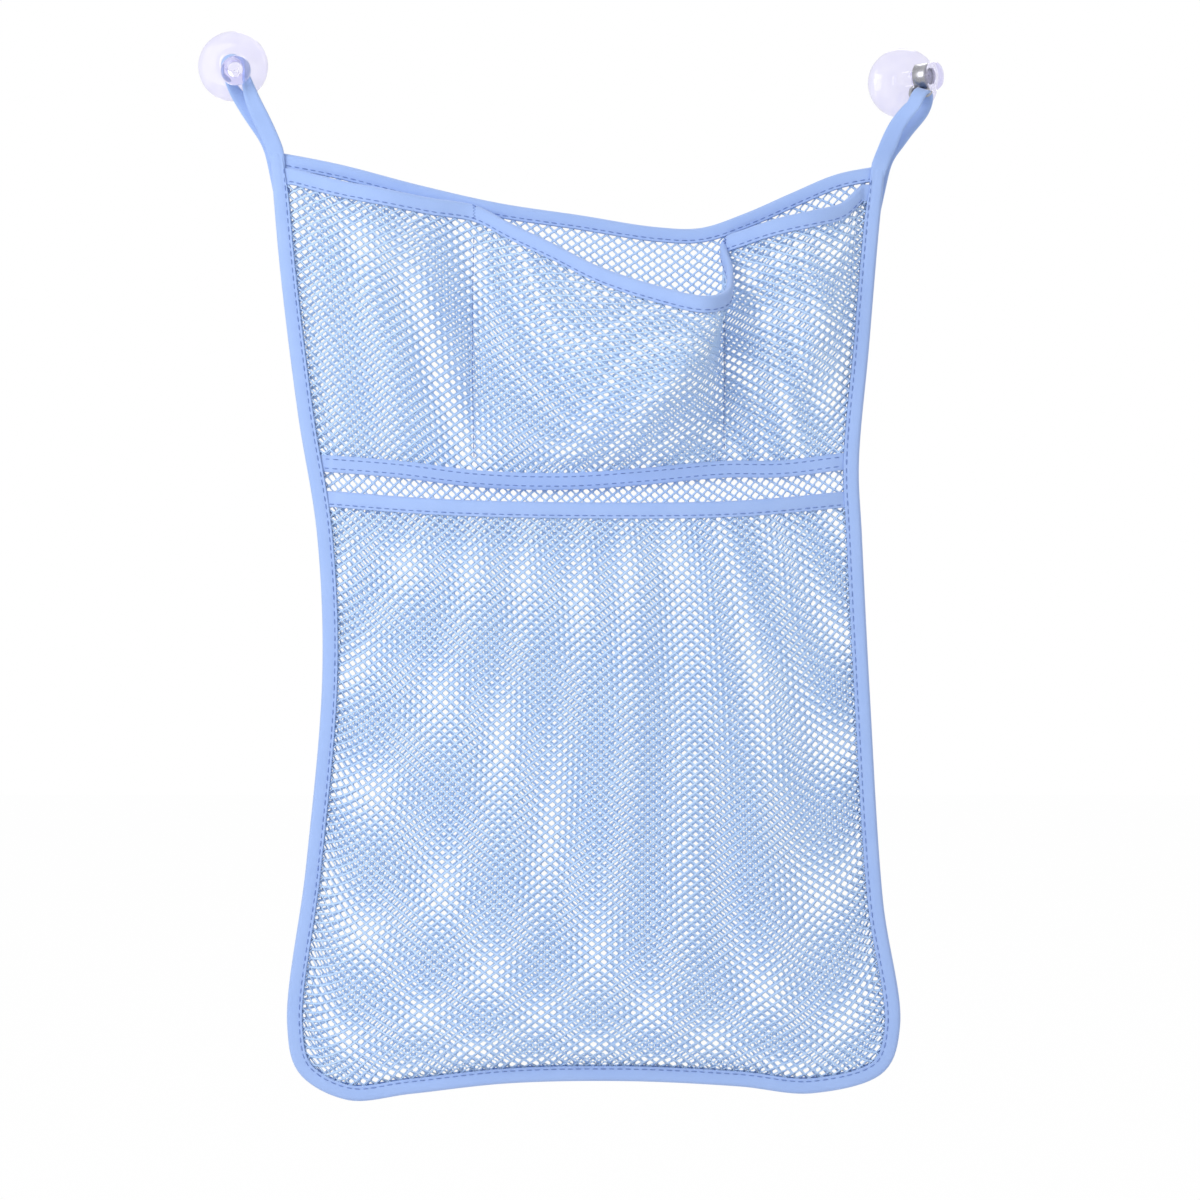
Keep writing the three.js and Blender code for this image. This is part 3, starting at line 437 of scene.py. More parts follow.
# Top hem. A strip of woven polyester tape folded over the back panel's top edge and sewn through
# with one row of lockstitch; its ends run into the side binding.
hem_width = 7.2
hem_plane = 3.5
hem_half = 1.5
hem_margin = 1.3
hem_end_heights = (-45.0, -52.0)
binding_inset = 10.0
end_tuck = 5.0
tape_wall = 0.7
fold_radius = 1.6
fold_steps = 9
groove_depth = 0.3
groove_width = 0.7
groove_reach = 0.9
leaf_ease = 0.25
tip_ease = 0.15
rib_pitch = 0.62
pucker_lengths = (11.3, 6.7)
stitch_pitch = 4.1
row_margins = (0.6, 0.5)
stitch_length = 2.9
stitch_radius = 0.24
stitch_proud = 0.02
spindle_rings = np.array([-1.0, -0.55, 0.55, 1.0])
spindle_girth = np.array([0.4, 1.0, 1.0, 0.4]) * stitch_radius
spindle_sink = np.array([-0.9, 0.0, 0.0, -0.9]) * stitch_radius
spindle_sides = 6


def tape(place):
    """Pale blue woven tape: ribs along and across from the surface map, and faint shade."""
    surface = place.node("ShaderNodeUVMap", {}, {"uv_map": "along_across"})
    along, across = (surface.node("ShaderNodeSeparateXYZ", {0: surface}, output=name) for name in ("X", "Y"))
    rib = 2 * np.pi / rib_pitch
    weave = (along * rib).sine() * (across * rib).sine() * 0.5 + 0.5
    cloud = noise(place, 14.0)
    fibre = noise(place, 0.35, 3.0)
    shade = cloud * 0.25 + fibre * 0.3 + weave * 0.45
    return {
        "Base Color": shade.blend(linear(140, 171, 229), linear(176, 200, 245)),
        "Roughness": fibre * 0.2 + 0.66,
        "Normal": raised(weave * 0.7 + fibre * 0.3, 0.1, 0.8),
    }


def thread(place):
    """Slate blue sewing thread with fine fibres."""
    fibre = noise(place, 0.15)
    colour = fibre.blend(linear(86, 112, 176), linear(128, 154, 214))
    return {"Base Color": colour, "Normal": raised(fibre, 0.08, 0.8)}


woven_tape = new_finish("woven_tape", {"Sheen Weight": 0.3, "Sheen Roughness": 0.45}, tape)
sewing_thread = new_finish("sewing_thread", {"Roughness": 0.6}, thread)


def smooth_step(low, high, value):
    """Share from 0 at low to 1 at high, level at both."""
    share = np.clip((value - low) / (high - low), 0, 1)
    return share * share * (3 - 2 * share)


def folded_section(width, half, stitch_line, crown):
    """Outline of tape folded over an edge, as (across, outward) from its mid plane: the back leaf, a round
    fold, the crowned front leaf with a groove at the stitch line, and the same way back inside."""
    bend = min(fold_radius, half)
    groove = [stitch_line - groove_reach, stitch_line, stitch_line + groove_reach]
    leaf = np.unique(np.clip([bend, 0.35 * width, 0.55 * width, *groove, width - leaf_ease], bend, width))
    swell = crown * (1 - ((leaf - width / 2) / (width / 2)) ** 2)
    swell = swell - groove_depth * np.exp(-(((leaf - stitch_line) / groove_width) ** 2))
    turn = np.linspace(-np.pi / 2, np.pi / 2, fold_steps)[1:-1]
    inner_turn = turn[::-2]
    lip = half - tape_wall
    tip = np.array([(width, half - tip_ease), (width, lip + tip_ease)])
    return np.concatenate([
        np.stack([leaf[::-1], -half - swell[::-1]], -1),
        np.stack([bend * (1 - np.cos(turn)), half * np.sin(turn)], -1),
        np.stack([leaf, half + swell], -1),
        tip,
        np.stack([leaf[::-1], lip + swell[::-1]], -1),
        np.stack([tape_wall + bend * (1 - np.cos(inner_turn)), lip * np.sin(inner_turn)], -1),
        np.stack([leaf, -lip - swell], -1),
        tip[::-1] * (1, -1),
    ])


def tube_faces(rows, around, first=0, closed=False):
    """Quads of a grid that closes round its section, and round its length too where closed."""
    row, j = np.meshgrid(np.arange(rows if closed else rows - 1), np.arange(around), indexing="ij")
    k = (j + 1) % around
    here, there = first + row * around, first + (row + 1) % rows * around
    return np.stack([here + j, here + k, there + k, there + j], -1).reshape(-1, 4)


def tube_ends(rows, around, first=0):
    """Faces over the first and the last ring of a tube."""
    return first + np.stack([np.arange(around)[::-1], (rows - 1) * around + np.arange(around)])


def tape_piece(name, path, a, b, girth):
    """Tape along a path, with a section that may change: origin + across * a + outward * b. Its surface map
    is the distance along the path and round the section."""
    origin, across, outward = path
    points = origin[:, None] + a[:, :, None] * across[:, None] + b[:, :, None] * outward[:, None]
    size = points.shape[:2]
    uv = np.stack(np.broadcast_arrays(run_length(origin)[:, None], girth), -1).reshape(-1, 2)
    return make_piece(name, points.reshape(-1, 3), [tube_faces(*size), tube_ends(*size)], woven_tape, uv)


def sweep_tape(name, path, section, thin=1.0, pucker=0.12, narrow=1.0):
    """A section carried along a path. The tape puckers between its stitches by a little of its outward
    reach, thin draws it together where it runs under another tape, and narrow makes it less wide."""
    long_wave, short_wave = (run_length(path[0]) * 2 * np.pi / length for length in pucker_lengths)
    wave = pucker * (np.sin(long_wave) + 0.7 * np.sin(short_wave + 1.3))
    edge = smooth_step(0.3, 1.0, section[:, 0] / section[:, 0].max())
    b = section[:, 1] + wave[:, None] * edge * np.sign(section[:, 1])
    thin, narrow = (np.broadcast_to(share, len(wave))[:, None] for share in (thin, narrow))
    return tape_piece(name, path, section[:, 0] * narrow, b * thin, run_length(section))


def stitch_places(path, line, height, sides=(1, -1)):
    """Middles, directions and faces of a row of stitches, a distance across a tape and a height off its mid
    plane, which may change along the tape, in front and behind."""
    origin, across, outward = path
    row = origin + line * across
    length = run_length(row)
    at = np.arange(row_margins[0] * stitch_pitch, length[-1] - row_margins[1] * stitch_pitch, stitch_pitch)
    pick = lambda columns: np.stack([np.interp(at, length, column) for column in columns.T], -1)
    along = unit(pick(np.gradient(row, axis=0)))
    face = unit(pick(outward))
    face = unit(face - np.sum(face * along, -1, keepdims=True) * along)
    lift = np.interp(at, length, np.broadcast_to(height, len(length)))[:, None]
    return [
        np.concatenate([pick(row) + side * lift * face for side in sides]),
        np.concatenate([along for _ in sides]),
        np.concatenate([side * face for side in sides]),
    ]


def circle(first, second, sides):
    """Points round unit circles, each laid out by two directions that are square to each other."""
    turn = np.linspace(0, 2 * np.pi, sides, endpoint=False)[:, None]
    return np.cos(turn) * first + np.sin(turn) * second


def sew(name, rows):
    """One object of thread from rows of stitches. Each is a six-sided spindle with four rings along it,
    thinner at its ends, which sink into the tape."""
    middle, along, face = (np.concatenate(parts) for parts in zip(*rows))
    axis = middle[:, None] + (spindle_rings * stitch_length / 2)[:, None] * along[:, None]
    axis = axis + spindle_sink[:, None] * face[:, None]
    ring = circle(np.cross(along, face)[:, None, None], face[:, None, None], spindle_sides)
    points = axis[:, :, None] + spindle_girth[:, None, None] * ring
    size = len(spindle_rings), spindle_sides
    first = np.arange(len(middle)) * size[0] * size[1]
    shanks = (first[:, None, None] + tube_faces(*size)).reshape(-1, 4)
    ends = np.concatenate([first[:, None] + end for end in tube_ends(*size)])
    made = make_piece(name, points.reshape(-1, 3), [shanks, ends], sewing_thread)
    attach(made, "bag")


def folded_tape(name, node, path, width, half, margin, unsewn=0, crown=0.25, thin=1.0, **shape):
    """Tape folded over an edge, which stands for a node's solid, and its row of lockstitch at a margin from
    its open side. The row leaves out some places at each end of the path."""
    line = width - margin
    thin = np.broadcast_to(thin, len(path[0]))
    made = sweep_tape(f"{name}_tape", path, folded_section(width, half, line, crown), thin, **shape)
    fit(made, "bag", node)
    sewn = slice(unsewn, len(thin) - unsewn)
    row = stitch_places([part[sewn] for part in path], line, half * thin[sewn] + stitch_proud)
    sew(f"{name}_stitches", [row])


def flat_path(run, plane):
    """Path of a flat tape: origins on a plane in front of the wall, across to the left of the run, and
    outward straight to the front."""
    return in_space(run, plane), in_space(left_hand(run), 0.0), np.tile((0.0, -1.0, 0.0), (len(run), 1))


inner_edges = inset_edges(binding_inset)


def between_bindings(run, heights):
    """Every second point of a run, from a tuck behind the left binding to a tuck behind the right one."""
    first, last = inner_edges["left"](heights[0]) - end_tuck, inner_edges["right"](heights[1]) + end_tuck
    return run[(run[:, 0] > first) & (run[:, 0] < last)][::2]


hem_path = flat_path(between_bindings(hem_line, hem_end_heights), hem_plane)
folded_tape("hem", "top_binding", hem_path, hem_width, hem_half, hem_margin)


# Lower pocket. A second net lies over the lower part of the back panel, sewn in at both sides and along the
# bottom; it bellies out above the bottom binding and hangs from its bound lip.
lower_lip_line = [(-150, -204.5), (-119, -208), (-62, -212.6), (10, -214.4), (84, -213.4), (138.5, -208.3),
                  (170, -204.5)]
lower_lip_width = 8.0
lower_lip_depth = 14.0
lower_belly_depth = 34.0
lower_folds = ((1.5, 23, 2.5, 0), (1.1, 41, -5, 1))
lower_span = (280, 290)
lower_net_width = 270
lower_net_height = 305
net_inset = 9.4
lip_inset = 9.8
pocket_plane = 5.7
lip_half = 1.5
lip_turning = 0.8
lip_margin = 1.4
lip_unsewn = 2
lower_lip_past = 0.024
lower_lip_steps = 150
lower_press_past = 0.008
lower_press_margin = 0.025
fold_gap = 1.8
tuck = 6.0
pressed_share = 0.36
net_edges = inset_edges(net_inset)
lip_edges = inset_edges(lip_inset)
lower_band = lower_lip_width + lip_turning
lower_lip_run = even_run(lower_lip_line)
lower_lip_foot = lambda x: np.interp(x, lower_lip_run[:, 0], lower_lip_run[:, 1]) - lower_band
lower_lip_ends = [
    lip_edges["left"](lower_lip_line[1][1] - lower_band),
    lip_edges["right"](lower_lip_line[-2][1] - lower_band),
]
lower_lip_feet = [lower_lip_foot(x) for x in lower_lip_ends]


def waves(folds, u, v):
    """Sum of waves, each of a depth, with its turns across and up and its start."""
    return sum(depth * np.sin(across * u + up * v + start) for depth, across, up, start in folds)


def lower_surface(u, v):
    """Depth is a steady lean out to the lip plus a belly low in the pocket, both dying out at the sides,
    with soft hanging folds. Past 0 and 1 the net runs flat into the binding, and straight up into its lip."""
    us, vs = np.clip(u, 0, 1), np.clip(v, 0, 1)
    flat = edged_patch(us, vs, net_edges, lower_lip_ends, lower_lip_feet, lower_lip_foot)
    across = 1 - np.abs(2 * us - 1) ** 2.6
    lean = lower_lip_depth * vs + lower_belly_depth * np.sin(np.pi * vs**0.6)
    depth = across * (lean + waves(lower_folds, us, vs) * np.sin(np.pi * vs) ** 0.7)
    return in_space(flat + np.stack([u - us, v - vs], -1) * lower_span, pocket_plane + depth)


lower_tuck, lower_drop = tuck / lower_span[0], tuck / lower_span[1]
lower_rise = (lower_band - fold_gap) / lower_span[1]
lower_columns = net_lines(-lower_tuck, 1 + lower_tuck, lower_net_width, gap_width)
lower_rows = net_lines(-lower_drop, 1 + lower_rise, lower_net_height, gap_height)
lower_net = diamond_net("lower_pocket_net", "lower_pocket_panel", lower_surface, lower_columns, lower_rows)


def lip_path(surface, places, rise):
    """Path along a pocket's lip: origins on its fold, across straight down, outward level and square."""
    ones = np.ones(len(places))
    down = np.tile((0.0, 0.0, -1.0), (len(places), 1))
    along = surface(places + slope_step, ones) - surface(places - slope_step, ones)
    return surface(places, ones) + (0, 0, rise), down, unit(np.cross(down, along))


def tucked(places, first, last, margin, least=pressed_share):
    """Thickness share of a tape that is pressed flat where its ends run under the side binding."""
    inside = np.minimum(places - first, last - places) / margin
    return mix(least, 1.0, smooth_step(-0.2, 0.9, inside))


lower_places = np.linspace(-lower_lip_past, 1 + lower_lip_past, lower_lip_steps)
lower_path = lip_path(lower_surface, lower_places, lower_band)
lower_thin = tucked(lower_places, -lower_press_past, 1 + lower_press_past, lower_press_margin)
folded_tape("lower_lip", "lower_pocket_lip", lower_path, lower_lip_width, lip_half, lip_margin, lip_unsewn,
            thin=lower_thin)


# Upper pockets. One net makes all three: sewn at both sides, down two seams and along a flat tape at its
# foot. Its lip droops forward where the middle pocket gapes, and turns back to the right-hand seam.
left_seam = (-46.5, -66.0)
right_seam = (78.0, -82.5)
left_lip_end = -47.4
right_lip_end = -55.6
left_lip = [(-112, 6, -54.6), (-90, 9, -59.2), (-68, 6, -63.2)]
centre_lip = [(-28, 7, -76), (-8, 15, -86.5), (16, 24, -99.6), (45, 33, -110.2), (66, 38, -115.4),
              (77, 30, -112), (80, 14, -98)]
right_lip = [(88, 5, -78.5), (104, 10, -73.8), (122, 11, -69.8), (136, 6, -65.5)]
base_tape_line = [(-150, -192), (-121.5, -194.5), (-84, -197.5), (-44, -202.3), (0, -203.5), (36, -201.2),
                  (78, -197.5), (106, -197.3), (137.5, -193.5), (170, -190)]
upper_lip_width = 8.4
base_tape_width = 8.5
base_overlap = 7.0
upper_span = (90, 120)
upper_net_counts = (29, 47, 25)
upper_net_height = 138
upper_lip_past = 0.07
upper_lip_counts = (50, 120, 46)
upper_press_past = 0.024
upper_press_margin = 0.07
foot_near = (-125.0, 145.0)
pocket_bellies = np.array([14.0, 24.0, 12.0])
belly_start = 3.0
seam_dip = 1.1
seam_lift = 1.0
seam_proud = 0.35
seam_reach = (0.02, 0.97)
seam_steps = 60
upper_band = upper_lip_width + lip_turning
lip_ends = lip_edges["left"](left_lip_end - upper_band), lip_edges["right"](right_lip_end - upper_band)
lip_points = np.array([
    (lip_ends[0], 0, left_lip_end), *left_lip, (left_seam[0], seam_lift, left_seam[1]), *centre_lip,
    (right_seam[0], seam_lift, right_seam[1]), *right_lip, (lip_ends[1], 0, right_lip_end),
])
lip_knots = np.array([0, len(left_lip) + 1, len(left_lip) + len(centre_lip) + 2, len(lip_points) - 1])
base_run = even_run(base_tape_line)
pocket_foot = lambda x: np.interp(x, base_run[:, 0], base_run[:, 1]) + base_tape_width / 2 + belly_start
foot_ends = net_edges["left"](pocket_foot(foot_near[0])), net_edges["right"](pocket_foot(foot_near[1]))
foot_knots = np.array([foot_ends[0], left_seam[0], right_seam[0], foot_ends[1]])
left_upper_edge = side_edge(net_edges["left"], pocket_foot(foot_ends[0]), left_lip_end - upper_band)
right_upper_edge = side_edge(net_edges["right"], pocket_foot(foot_ends[1]), right_lip_end - upper_band)


def upper_surface(q, v):
    """q counts pockets: 0 to 1 the left, 1 to 2 the middle and 2 to 3 the right one. Depth grows from the
    tape to the lip; a belly swells each pocket, the seams dip to the back panel and soft folds hang from the
    seams. Past its ends the net runs flat into the binding, down behind the tape and up into its lip."""
    qs, vs = np.clip(q, 0, 3), np.clip(v, 0, 1)
    pocket = np.clip(np.floor(qs).astype(int), 0, 2)
    part = qs - pocket
    lip = spline(lip_points, mix(lip_knots[pocket], lip_knots[pocket + 1], part))
    foot_x = mix(foot_knots[pocket], foot_knots[pocket + 1], part)
    foot = np.stack([foot_x, pocket_foot(foot_x)], -1)
    top = np.stack([lip[:, 0], lip[:, 2] - upper_band], -1)
    u = (foot_x - foot_knots[0]) / (foot_knots[3] - foot_knots[0])
    flat = coons(u, vs, left_upper_edge, right_upper_edge, lambda s: foot, lambda s: top)
    across, swell = np.sin(np.pi * part), np.sin(vs * np.pi)
    rim = np.clip(8 * np.minimum(qs, 3 - qs), 0, 1) * np.clip(1 - 3 * across, 0, 1)
    folds = waves(((1.3, 11, 7, pocket), (0.8, 19, -9, 0)), part, vs)
    depth = lip[:, 1] * np.sin(vs * np.pi / 2) + pocket_bellies[pocket] * across * swell
    depth = depth - seam_dip * rim * np.clip(6 * np.minimum(vs, 1 - vs), 0, 1)
    depth = depth + folds * across * swell**0.8
    return in_space(flat + np.stack([q - qs, v - vs], -1) * upper_span, pocket_plane + depth)


def over_pockets(past, counts):
    """Places along the three pockets, so many in each, running past both ends."""
    ends = ((-past, 1), (1, 2), (2, 3 + past))
    runs = [np.linspace(*end, count) for end, count in zip(ends, counts)]
    return np.concatenate([runs[0][:-1], runs[1][:-1], runs[2]])


upper_rise = (upper_band - fold_gap) / upper_span[1]
upper_columns = over_pockets(tuck / upper_span[0], upper_net_counts)
upper_rows = net_lines(-base_overlap / upper_span[1], 1 + upper_rise, upper_net_height, gap_height)
upper_net = diamond_net("upper_pocket_net", "upper_pocket_panel", upper_surface, upper_columns, upper_rows)

upper_places = over_pockets(upper_lip_past, upper_lip_counts)
upper_path = lip_path(upper_surface, upper_places, upper_band)
upper_thin = tucked(upper_places, -upper_press_past, 3 + upper_press_past, upper_press_margin)
folded_tape("upper_lip", "upper_pocket_lip", upper_path, upper_lip_width, lip_half, lip_margin, lip_unsewn,
            thin=upper_thin, pucker=0.08)

seam_heights = np.linspace(*seam_reach, seam_steps)
seam_ways = [np.tile(way, (seam_steps, 1)) for way in ((1.0, 0.0, 0.0), (0.0, -1.0, 0.0))]
seam_runs = [upper_surface(np.full(seam_steps, seam), seam_heights) for seam in (1.0, 2.0)]
sew("pocket_seam_stitches", [stitch_places((run, *seam_ways), 0.0, seam_proud, (1,)) for run in seam_runs])


# Base tape. A flat woven tape sewn with two rows of stitches through the foot of the upper pockets and the
# back panel, so that it closes the pockets below.
base_plane = 6.8
base_half = 0.4
base_end_height = -196.0
base_press = 1.1
base_press_length = 4.0
base_stitch_lines = (-2.3, 2.3)
base_stitch_proud = 0.05


def flat_section(width, half):
    """Outline of flat tape with eased edges, centred on its middle line."""
    reach = width / 2
    low = np.linspace(-reach + half * 0.8, reach - half * 0.8, 6)
    return np.concatenate([
        np.stack([low, np.full(6, -half)], -1), [(reach, -half * 0.3), (reach, half * 0.3)],
        np.stack([low[::-1], np.full(6, half)], -1), [(-reach, half * 0.3), (-reach, -half * 0.3)],
    ])


base_cut = between_bindings(base_run, (base_end_height, base_end_height))
base_path = flat_path(base_cut, base_plane)
base_inside = [inner_edges[side](base_end_height) for side in ("left", "right")]
base_path[0][:, 1] += base_press * (1.0 - tucked(base_cut[:, 0], *base_inside, base_press_length, 0.0))
base_tape = sweep_tape("base_tape", base_path, flat_section(base_tape_width, base_half), pucker=0.05)
fit(base_tape, "bag", "upper_pocket_base_tape")
base_sewn = [part[1:-1] for part in base_path]
base_lift = base_half + base_stitch_proud
sew("base_tape_stitches", [stitch_places(base_sewn, line, base_lift, (1,)) for line in base_stitch_lines])


# Side and bottom binding. One length of the same tape, folded over the edges of all the nets, runs down the
# left side, round the bottom and up the right side, with one row of stitches along its inner edge. A bar
# tack of dense zigzag thread holds the upper pockets' lip at the top of each seam.
binding_width = 7.8
binding_plane = 4.6
binding_half = 2.6
binding_crown = 0.2
binding_unsewn = 3
binding_end_width = 6.2
binding_taper = 30.0
tack_pitch = 0.75
tack_slant = 0.45
tack_length = 2.2
tack_from = 0.5
tack_to = 7.0
tack_proud = 0.1
tack_plane = pocket_plane + seam_lift + lip_half + tack_proud

binding_path = flat_path(np.vstack([outline[:-1:3], outline[-1:]]), binding_plane)
from_start = run_length(binding_path[0])
from_ends = np.minimum(from_start, from_start[-1] - from_start)
binding_narrow = mix(binding_end_width / binding_width, 1.0, smooth_step(0.0, binding_taper, from_ends))
folded_tape("side_binding", "edge_binding", binding_path, binding_width, binding_half, lip_margin,
            binding_unsewn, binding_crown, narrow=binding_narrow)


def bar_tack(x, z):
    """Dense zigzag of stitches down a short line below a seam's top, each laid across it at a slant."""
    start, end = np.array([x, z - tack_from]), np.array([x, z - tack_to])
    count = int(np.linalg.norm(end - start) / tack_pitch) + 1
    flat = start + np.linspace(0, 1, count)[:, None] * (end - start)
    line = unit(end - start)
    slant = np.where(np.arange(count) % 2 == 0, tack_slant, -tack_slant)[:, None]
    along = unit(np.array([-line[1], line[0]]) + slant * line) * tack_length / stitch_length
    return [in_space(flat, tack_plane), in_space(along, 0.0), np.tile((0.0, -1.0, 0.0), (count, 1))]


sew("bar_tacks", [bar_tack(*left_seam), bar_tack(*right_seam)])


# Suction cups. Clear soft vinyl mouldings: a thin round rim, a dome, a bendable neck and a mushroom head.
# The left neck leans towards the loop that hangs on it, and the right one is bent over sideways by its hook.
cup_span = 334.8
cup_tilt = 4.25
cup_radius = 17.5
cup_sides = 72
rim_width = 2.5
rim_start = cup_radius - rim_width
rim_thickness = 0.9
hollow_depth = 2.0
dome_height = 9.0
dome_top_radius = 6.2
neck_root = 8.7
neck_radius = 3.5
neck_length = 10.5
neck_bend_radius = 5.0
head_radius = 7.5
head_length = 6.0
cups = {"left": (-1, (0.34, -0.5)), "right": (1, (1.05, 0.0))}
clear_gloss = {"Transmission Weight": 0.9, "IOR": 1.14, "Coat Weight": 0.7, "Coat Roughness": 0.08}


def vinyl(place):
    """Clear soft vinyl with a lavender cast, and faint mould haze in its gloss."""
    haze = noise(place, 7.0)
    return {
        "Base Color": haze.blend(linear(226, 224, 250), linear(244, 242, 255)),
        "Roughness": haze * 0.1 + 0.03,
        "Normal": raised(haze, 0.2, 0.3),
    }


clear_vinyl = new_finish("clear_vinyl", clear_gloss, vinyl)


def neck_line(side, turns):
    """Axis of a cup by distance from the wall: straight out, round the neck's bend, and straight on. Gives
    its points and the two directions square to it as a function, and where the bend ends: the place, the
    way on from there and the distance."""
    centre = np.array([side * cup_span / 2, 0.0, -side * cup_tilt])
    bend = np.hypot(*turns)
    lean = np.array([turns[0] / bend, 0.0, turns[1] / bend])
    out = np.array([0.0, -1.0, 0.0])
    tip = np.cos(bend) * out + np.sin(bend) * lean
    straight = neck_root + bend * neck_bend_radius

    def at(distance):
        angle = np.clip((distance - neck_root) / neck_bend_radius, 0, bend)[:, None]
        before = np.minimum(distance, neck_root)[:, None] * out
        arc = neck_bend_radius * (np.sin(angle) * out + (1 - np.cos(angle)) * lean)
        after = np.maximum(distance - straight, 0)[:, None] * tip
        return centre + before + arc + after, np.cos(angle) * lean - np.sin(angle) * out, np.cross(out, lean)

    return at, at(np.array([straight]))[0][0], tip, straight


def rounded(points, steps):
    """Profile smoothed by a spline through its points."""
    return spline(points, np.linspace(0, len(points) - 1, steps))


def cup_profile(neck_end):
    """Half section of a cup as (radius, distance): the hollow, the rim, the dome, the neck and the head."""
    slope = lambda share: mix(dome_top_radius, rim_start, share)
    rise = lambda share: mix(rim_thickness, dome_height, share)
    hollow = rounded([(0.0, hollow_depth), (cup_radius * 0.5, hollow_depth * 0.85),
                      (rim_start - 1, hollow_depth * 0.2), (rim_start, 0.02)], 16)
    rim = [(cup_radius - 0.4, 0.0), (cup_radius, 0.35), (cup_radius - 0.1, rim_thickness)]
    dome = rounded([(slope(0.9), rise(0.22)), (slope(0.5), rise(0.5)), (slope(0.16), rise(0.78)),
                    (dome_top_radius - 0.2, dome_height - 0.6), (neck_radius + 0.9, dome_height - 0.15),
                    (neck_radius, dome_height + 0.7)], 22)
    neck = [(neck_radius, distance) for distance in np.linspace(dome_height + 1.2, neck_end - 0.3, 14)]
    head = rounded([(neck_radius + 0.3, 0.0), (head_radius - 0.9, 0.15), (head_radius, 1.2),
                    (head_radius * 0.95, head_length * 0.45), (head_radius * 0.72, head_length * 0.8),
                    (head_radius * 0.3, head_length * 0.98), (0.0, head_length)], 26)
    return np.vstack([hollow, rim, dome, neck, head + (0, neck_end)])


def turned_along(name, at, profile):
    """Profile of (radius, distance) turned about an axis that may bend; both of its ends lie on the axis."""
    middle, first, second = at(profile[:, 1])
    ring = circle(first[:, None], second, cup_sides)
    points = (middle[:, None] + profile[:, 0, None, None] * ring)[1:-1]
    rows = len(points)
    poles = [np.full(cup_sides, rows * cup_sides + end) for end in (0, 1)]
    edges = tube_ends(rows, cup_sides)
    caps = [np.stack([pole, edge, np.roll(edge, -1)], -1) for pole, edge in zip(poles, edges)]
    points = np.vstack([points.reshape(-1, 3), middle[[0, -1]]])
    return make_piece(name, points, [tube_faces(rows, cup_sides), *caps], clear_vinyl)


necks = {}
for side_name, (side, turns) in cups.items():
    at, seat, tip, straight = neck_line(side, turns)
    necks[side_name] = seat, tip
    cup = turned_along(f"{side_name}_suction_cup", at, cup_profile(straight + neck_length))
    fit(cup, "hangers", f"{side_name}_cup")


# Steel hook. A dished collar pressed from plated sheet turns on the right cup's neck, and a round wire that
# is welded to it drops, runs out under the head and turns up to keep the loop on.
collar_radius = 6.6
collar_length = 7.0
collar_wall = 1.2
collar_clearance = 0.3
collar_bore = neck_radius + collar_clearance
collar_inner = collar_radius - collar_wall
collar_face = collar_length - collar_wall
collar_fillet = 0.5
collar_rim = 0.2
collar_edge = 0.3
collar_shoulder = 1.0
collar_sides = 64
wire_radius = 1.1
wire_sides = 20
wire_tip = np.array([(0, 0.5), (0, 0.15), (0, 0)])
wire_tip_shares = (0.85, 0.5)
trough_back = 1.8
trough_width = 10.4
trough_front = trough_width - trough_back
trough_drop = 10.8
trough_corner = 1.9
corner_steps = 9
hook_tip_drop = 8.7
hook_turn = 0.4
hook_play = 0.3
up = np.array([0.0, 0.0, 1.0])


def steel(place):
    """Plated steel with fine turning marks and a few dull patches."""
    dull = noise(place, 3.0, 3.0)
    scratch = noise(place, 0.3)
    return {
        "Base Color": dull.blend(linear(138, 138, 144), linear(182, 182, 188)),
        "Roughness": dull * 0.25 + scratch * 0.1 + 0.12,
        "Normal": raised(scratch, 0.03, 0.5),
    }


plated_steel = new_finish("plated_steel", {"Metallic": 1.0}, steel)
hook_neck, hook_axis = necks["right"]
hook_seat = hook_neck + (neck_length - collar_length - hook_play) * hook_axis
hook_down = np.sin(hook_turn) * np.cross(hook_axis, up) - np.cos(hook_turn) * up
hook_side = np.cross(hook_down, hook_axis)


def hook_point(places):
    """Points of the hook from their distance along its axis and their drop below it."""
    return hook_seat + places[..., :1] * hook_axis + places[..., 1:] * hook_down


collar_profile = np.array([
    (collar_bore, collar_length), (collar_bore, collar_face), (collar_inner - collar_fillet, collar_face),
    (collar_inner, collar_face - collar_fillet), (collar_inner, collar_rim),
    (collar_inner + collar_edge, 0.0), (collar_radius - collar_edge, 0.0), (collar_radius, collar_edge),
    (collar_radius, collar_length - collar_shoulder),
    (collar_radius - collar_edge, collar_length - collar_edge),
    (collar_radius - collar_shoulder, collar_length),
])
collar_ring = circle(hook_side, np.cross(hook_axis, hook_side), collar_sides)
collar_middles = hook_seat + collar_profile[:, 1, None, None] * hook_axis
collar_points = collar_middles + collar_profile[:, 0, None, None] * collar_ring

wire_corners = np.array([
    (wire_radius, collar_radius - wire_radius), (-trough_back, collar_radius - wire_radius),
    (-trough_back, trough_drop), (trough_front, trough_drop), (trough_front, hook_tip_drop),
])
corner_turn = np.linspace(0, np.pi / 2, corner_steps)[:, None]
wire_line = [wire_corners[:1]]
for before, corner, after in zip(wire_corners, wire_corners[1:], wire_corners[2:]):
    into, out_of = trough_corner * unit(corner - before), trough_corner * unit(after - corner)
    wire_line.append(corner - into + out_of + np.sin(corner_turn) * into - np.cos(corner_turn) * out_of)
wire_path = hook_point(np.vstack([*wire_line, wire_corners[-1] + wire_tip]))
wire_girth = np.full(len(wire_path), wire_radius)
wire_girth[-2:] *= wire_tip_shares
wire_across = np.cross(hook_side, unit(np.gradient(wire_path, axis=0)))
wire_ring = circle(hook_side, wire_across[:, None], wire_sides)
wire_points = wire_path[:, None] + wire_girth[:, None, None] * wire_ring

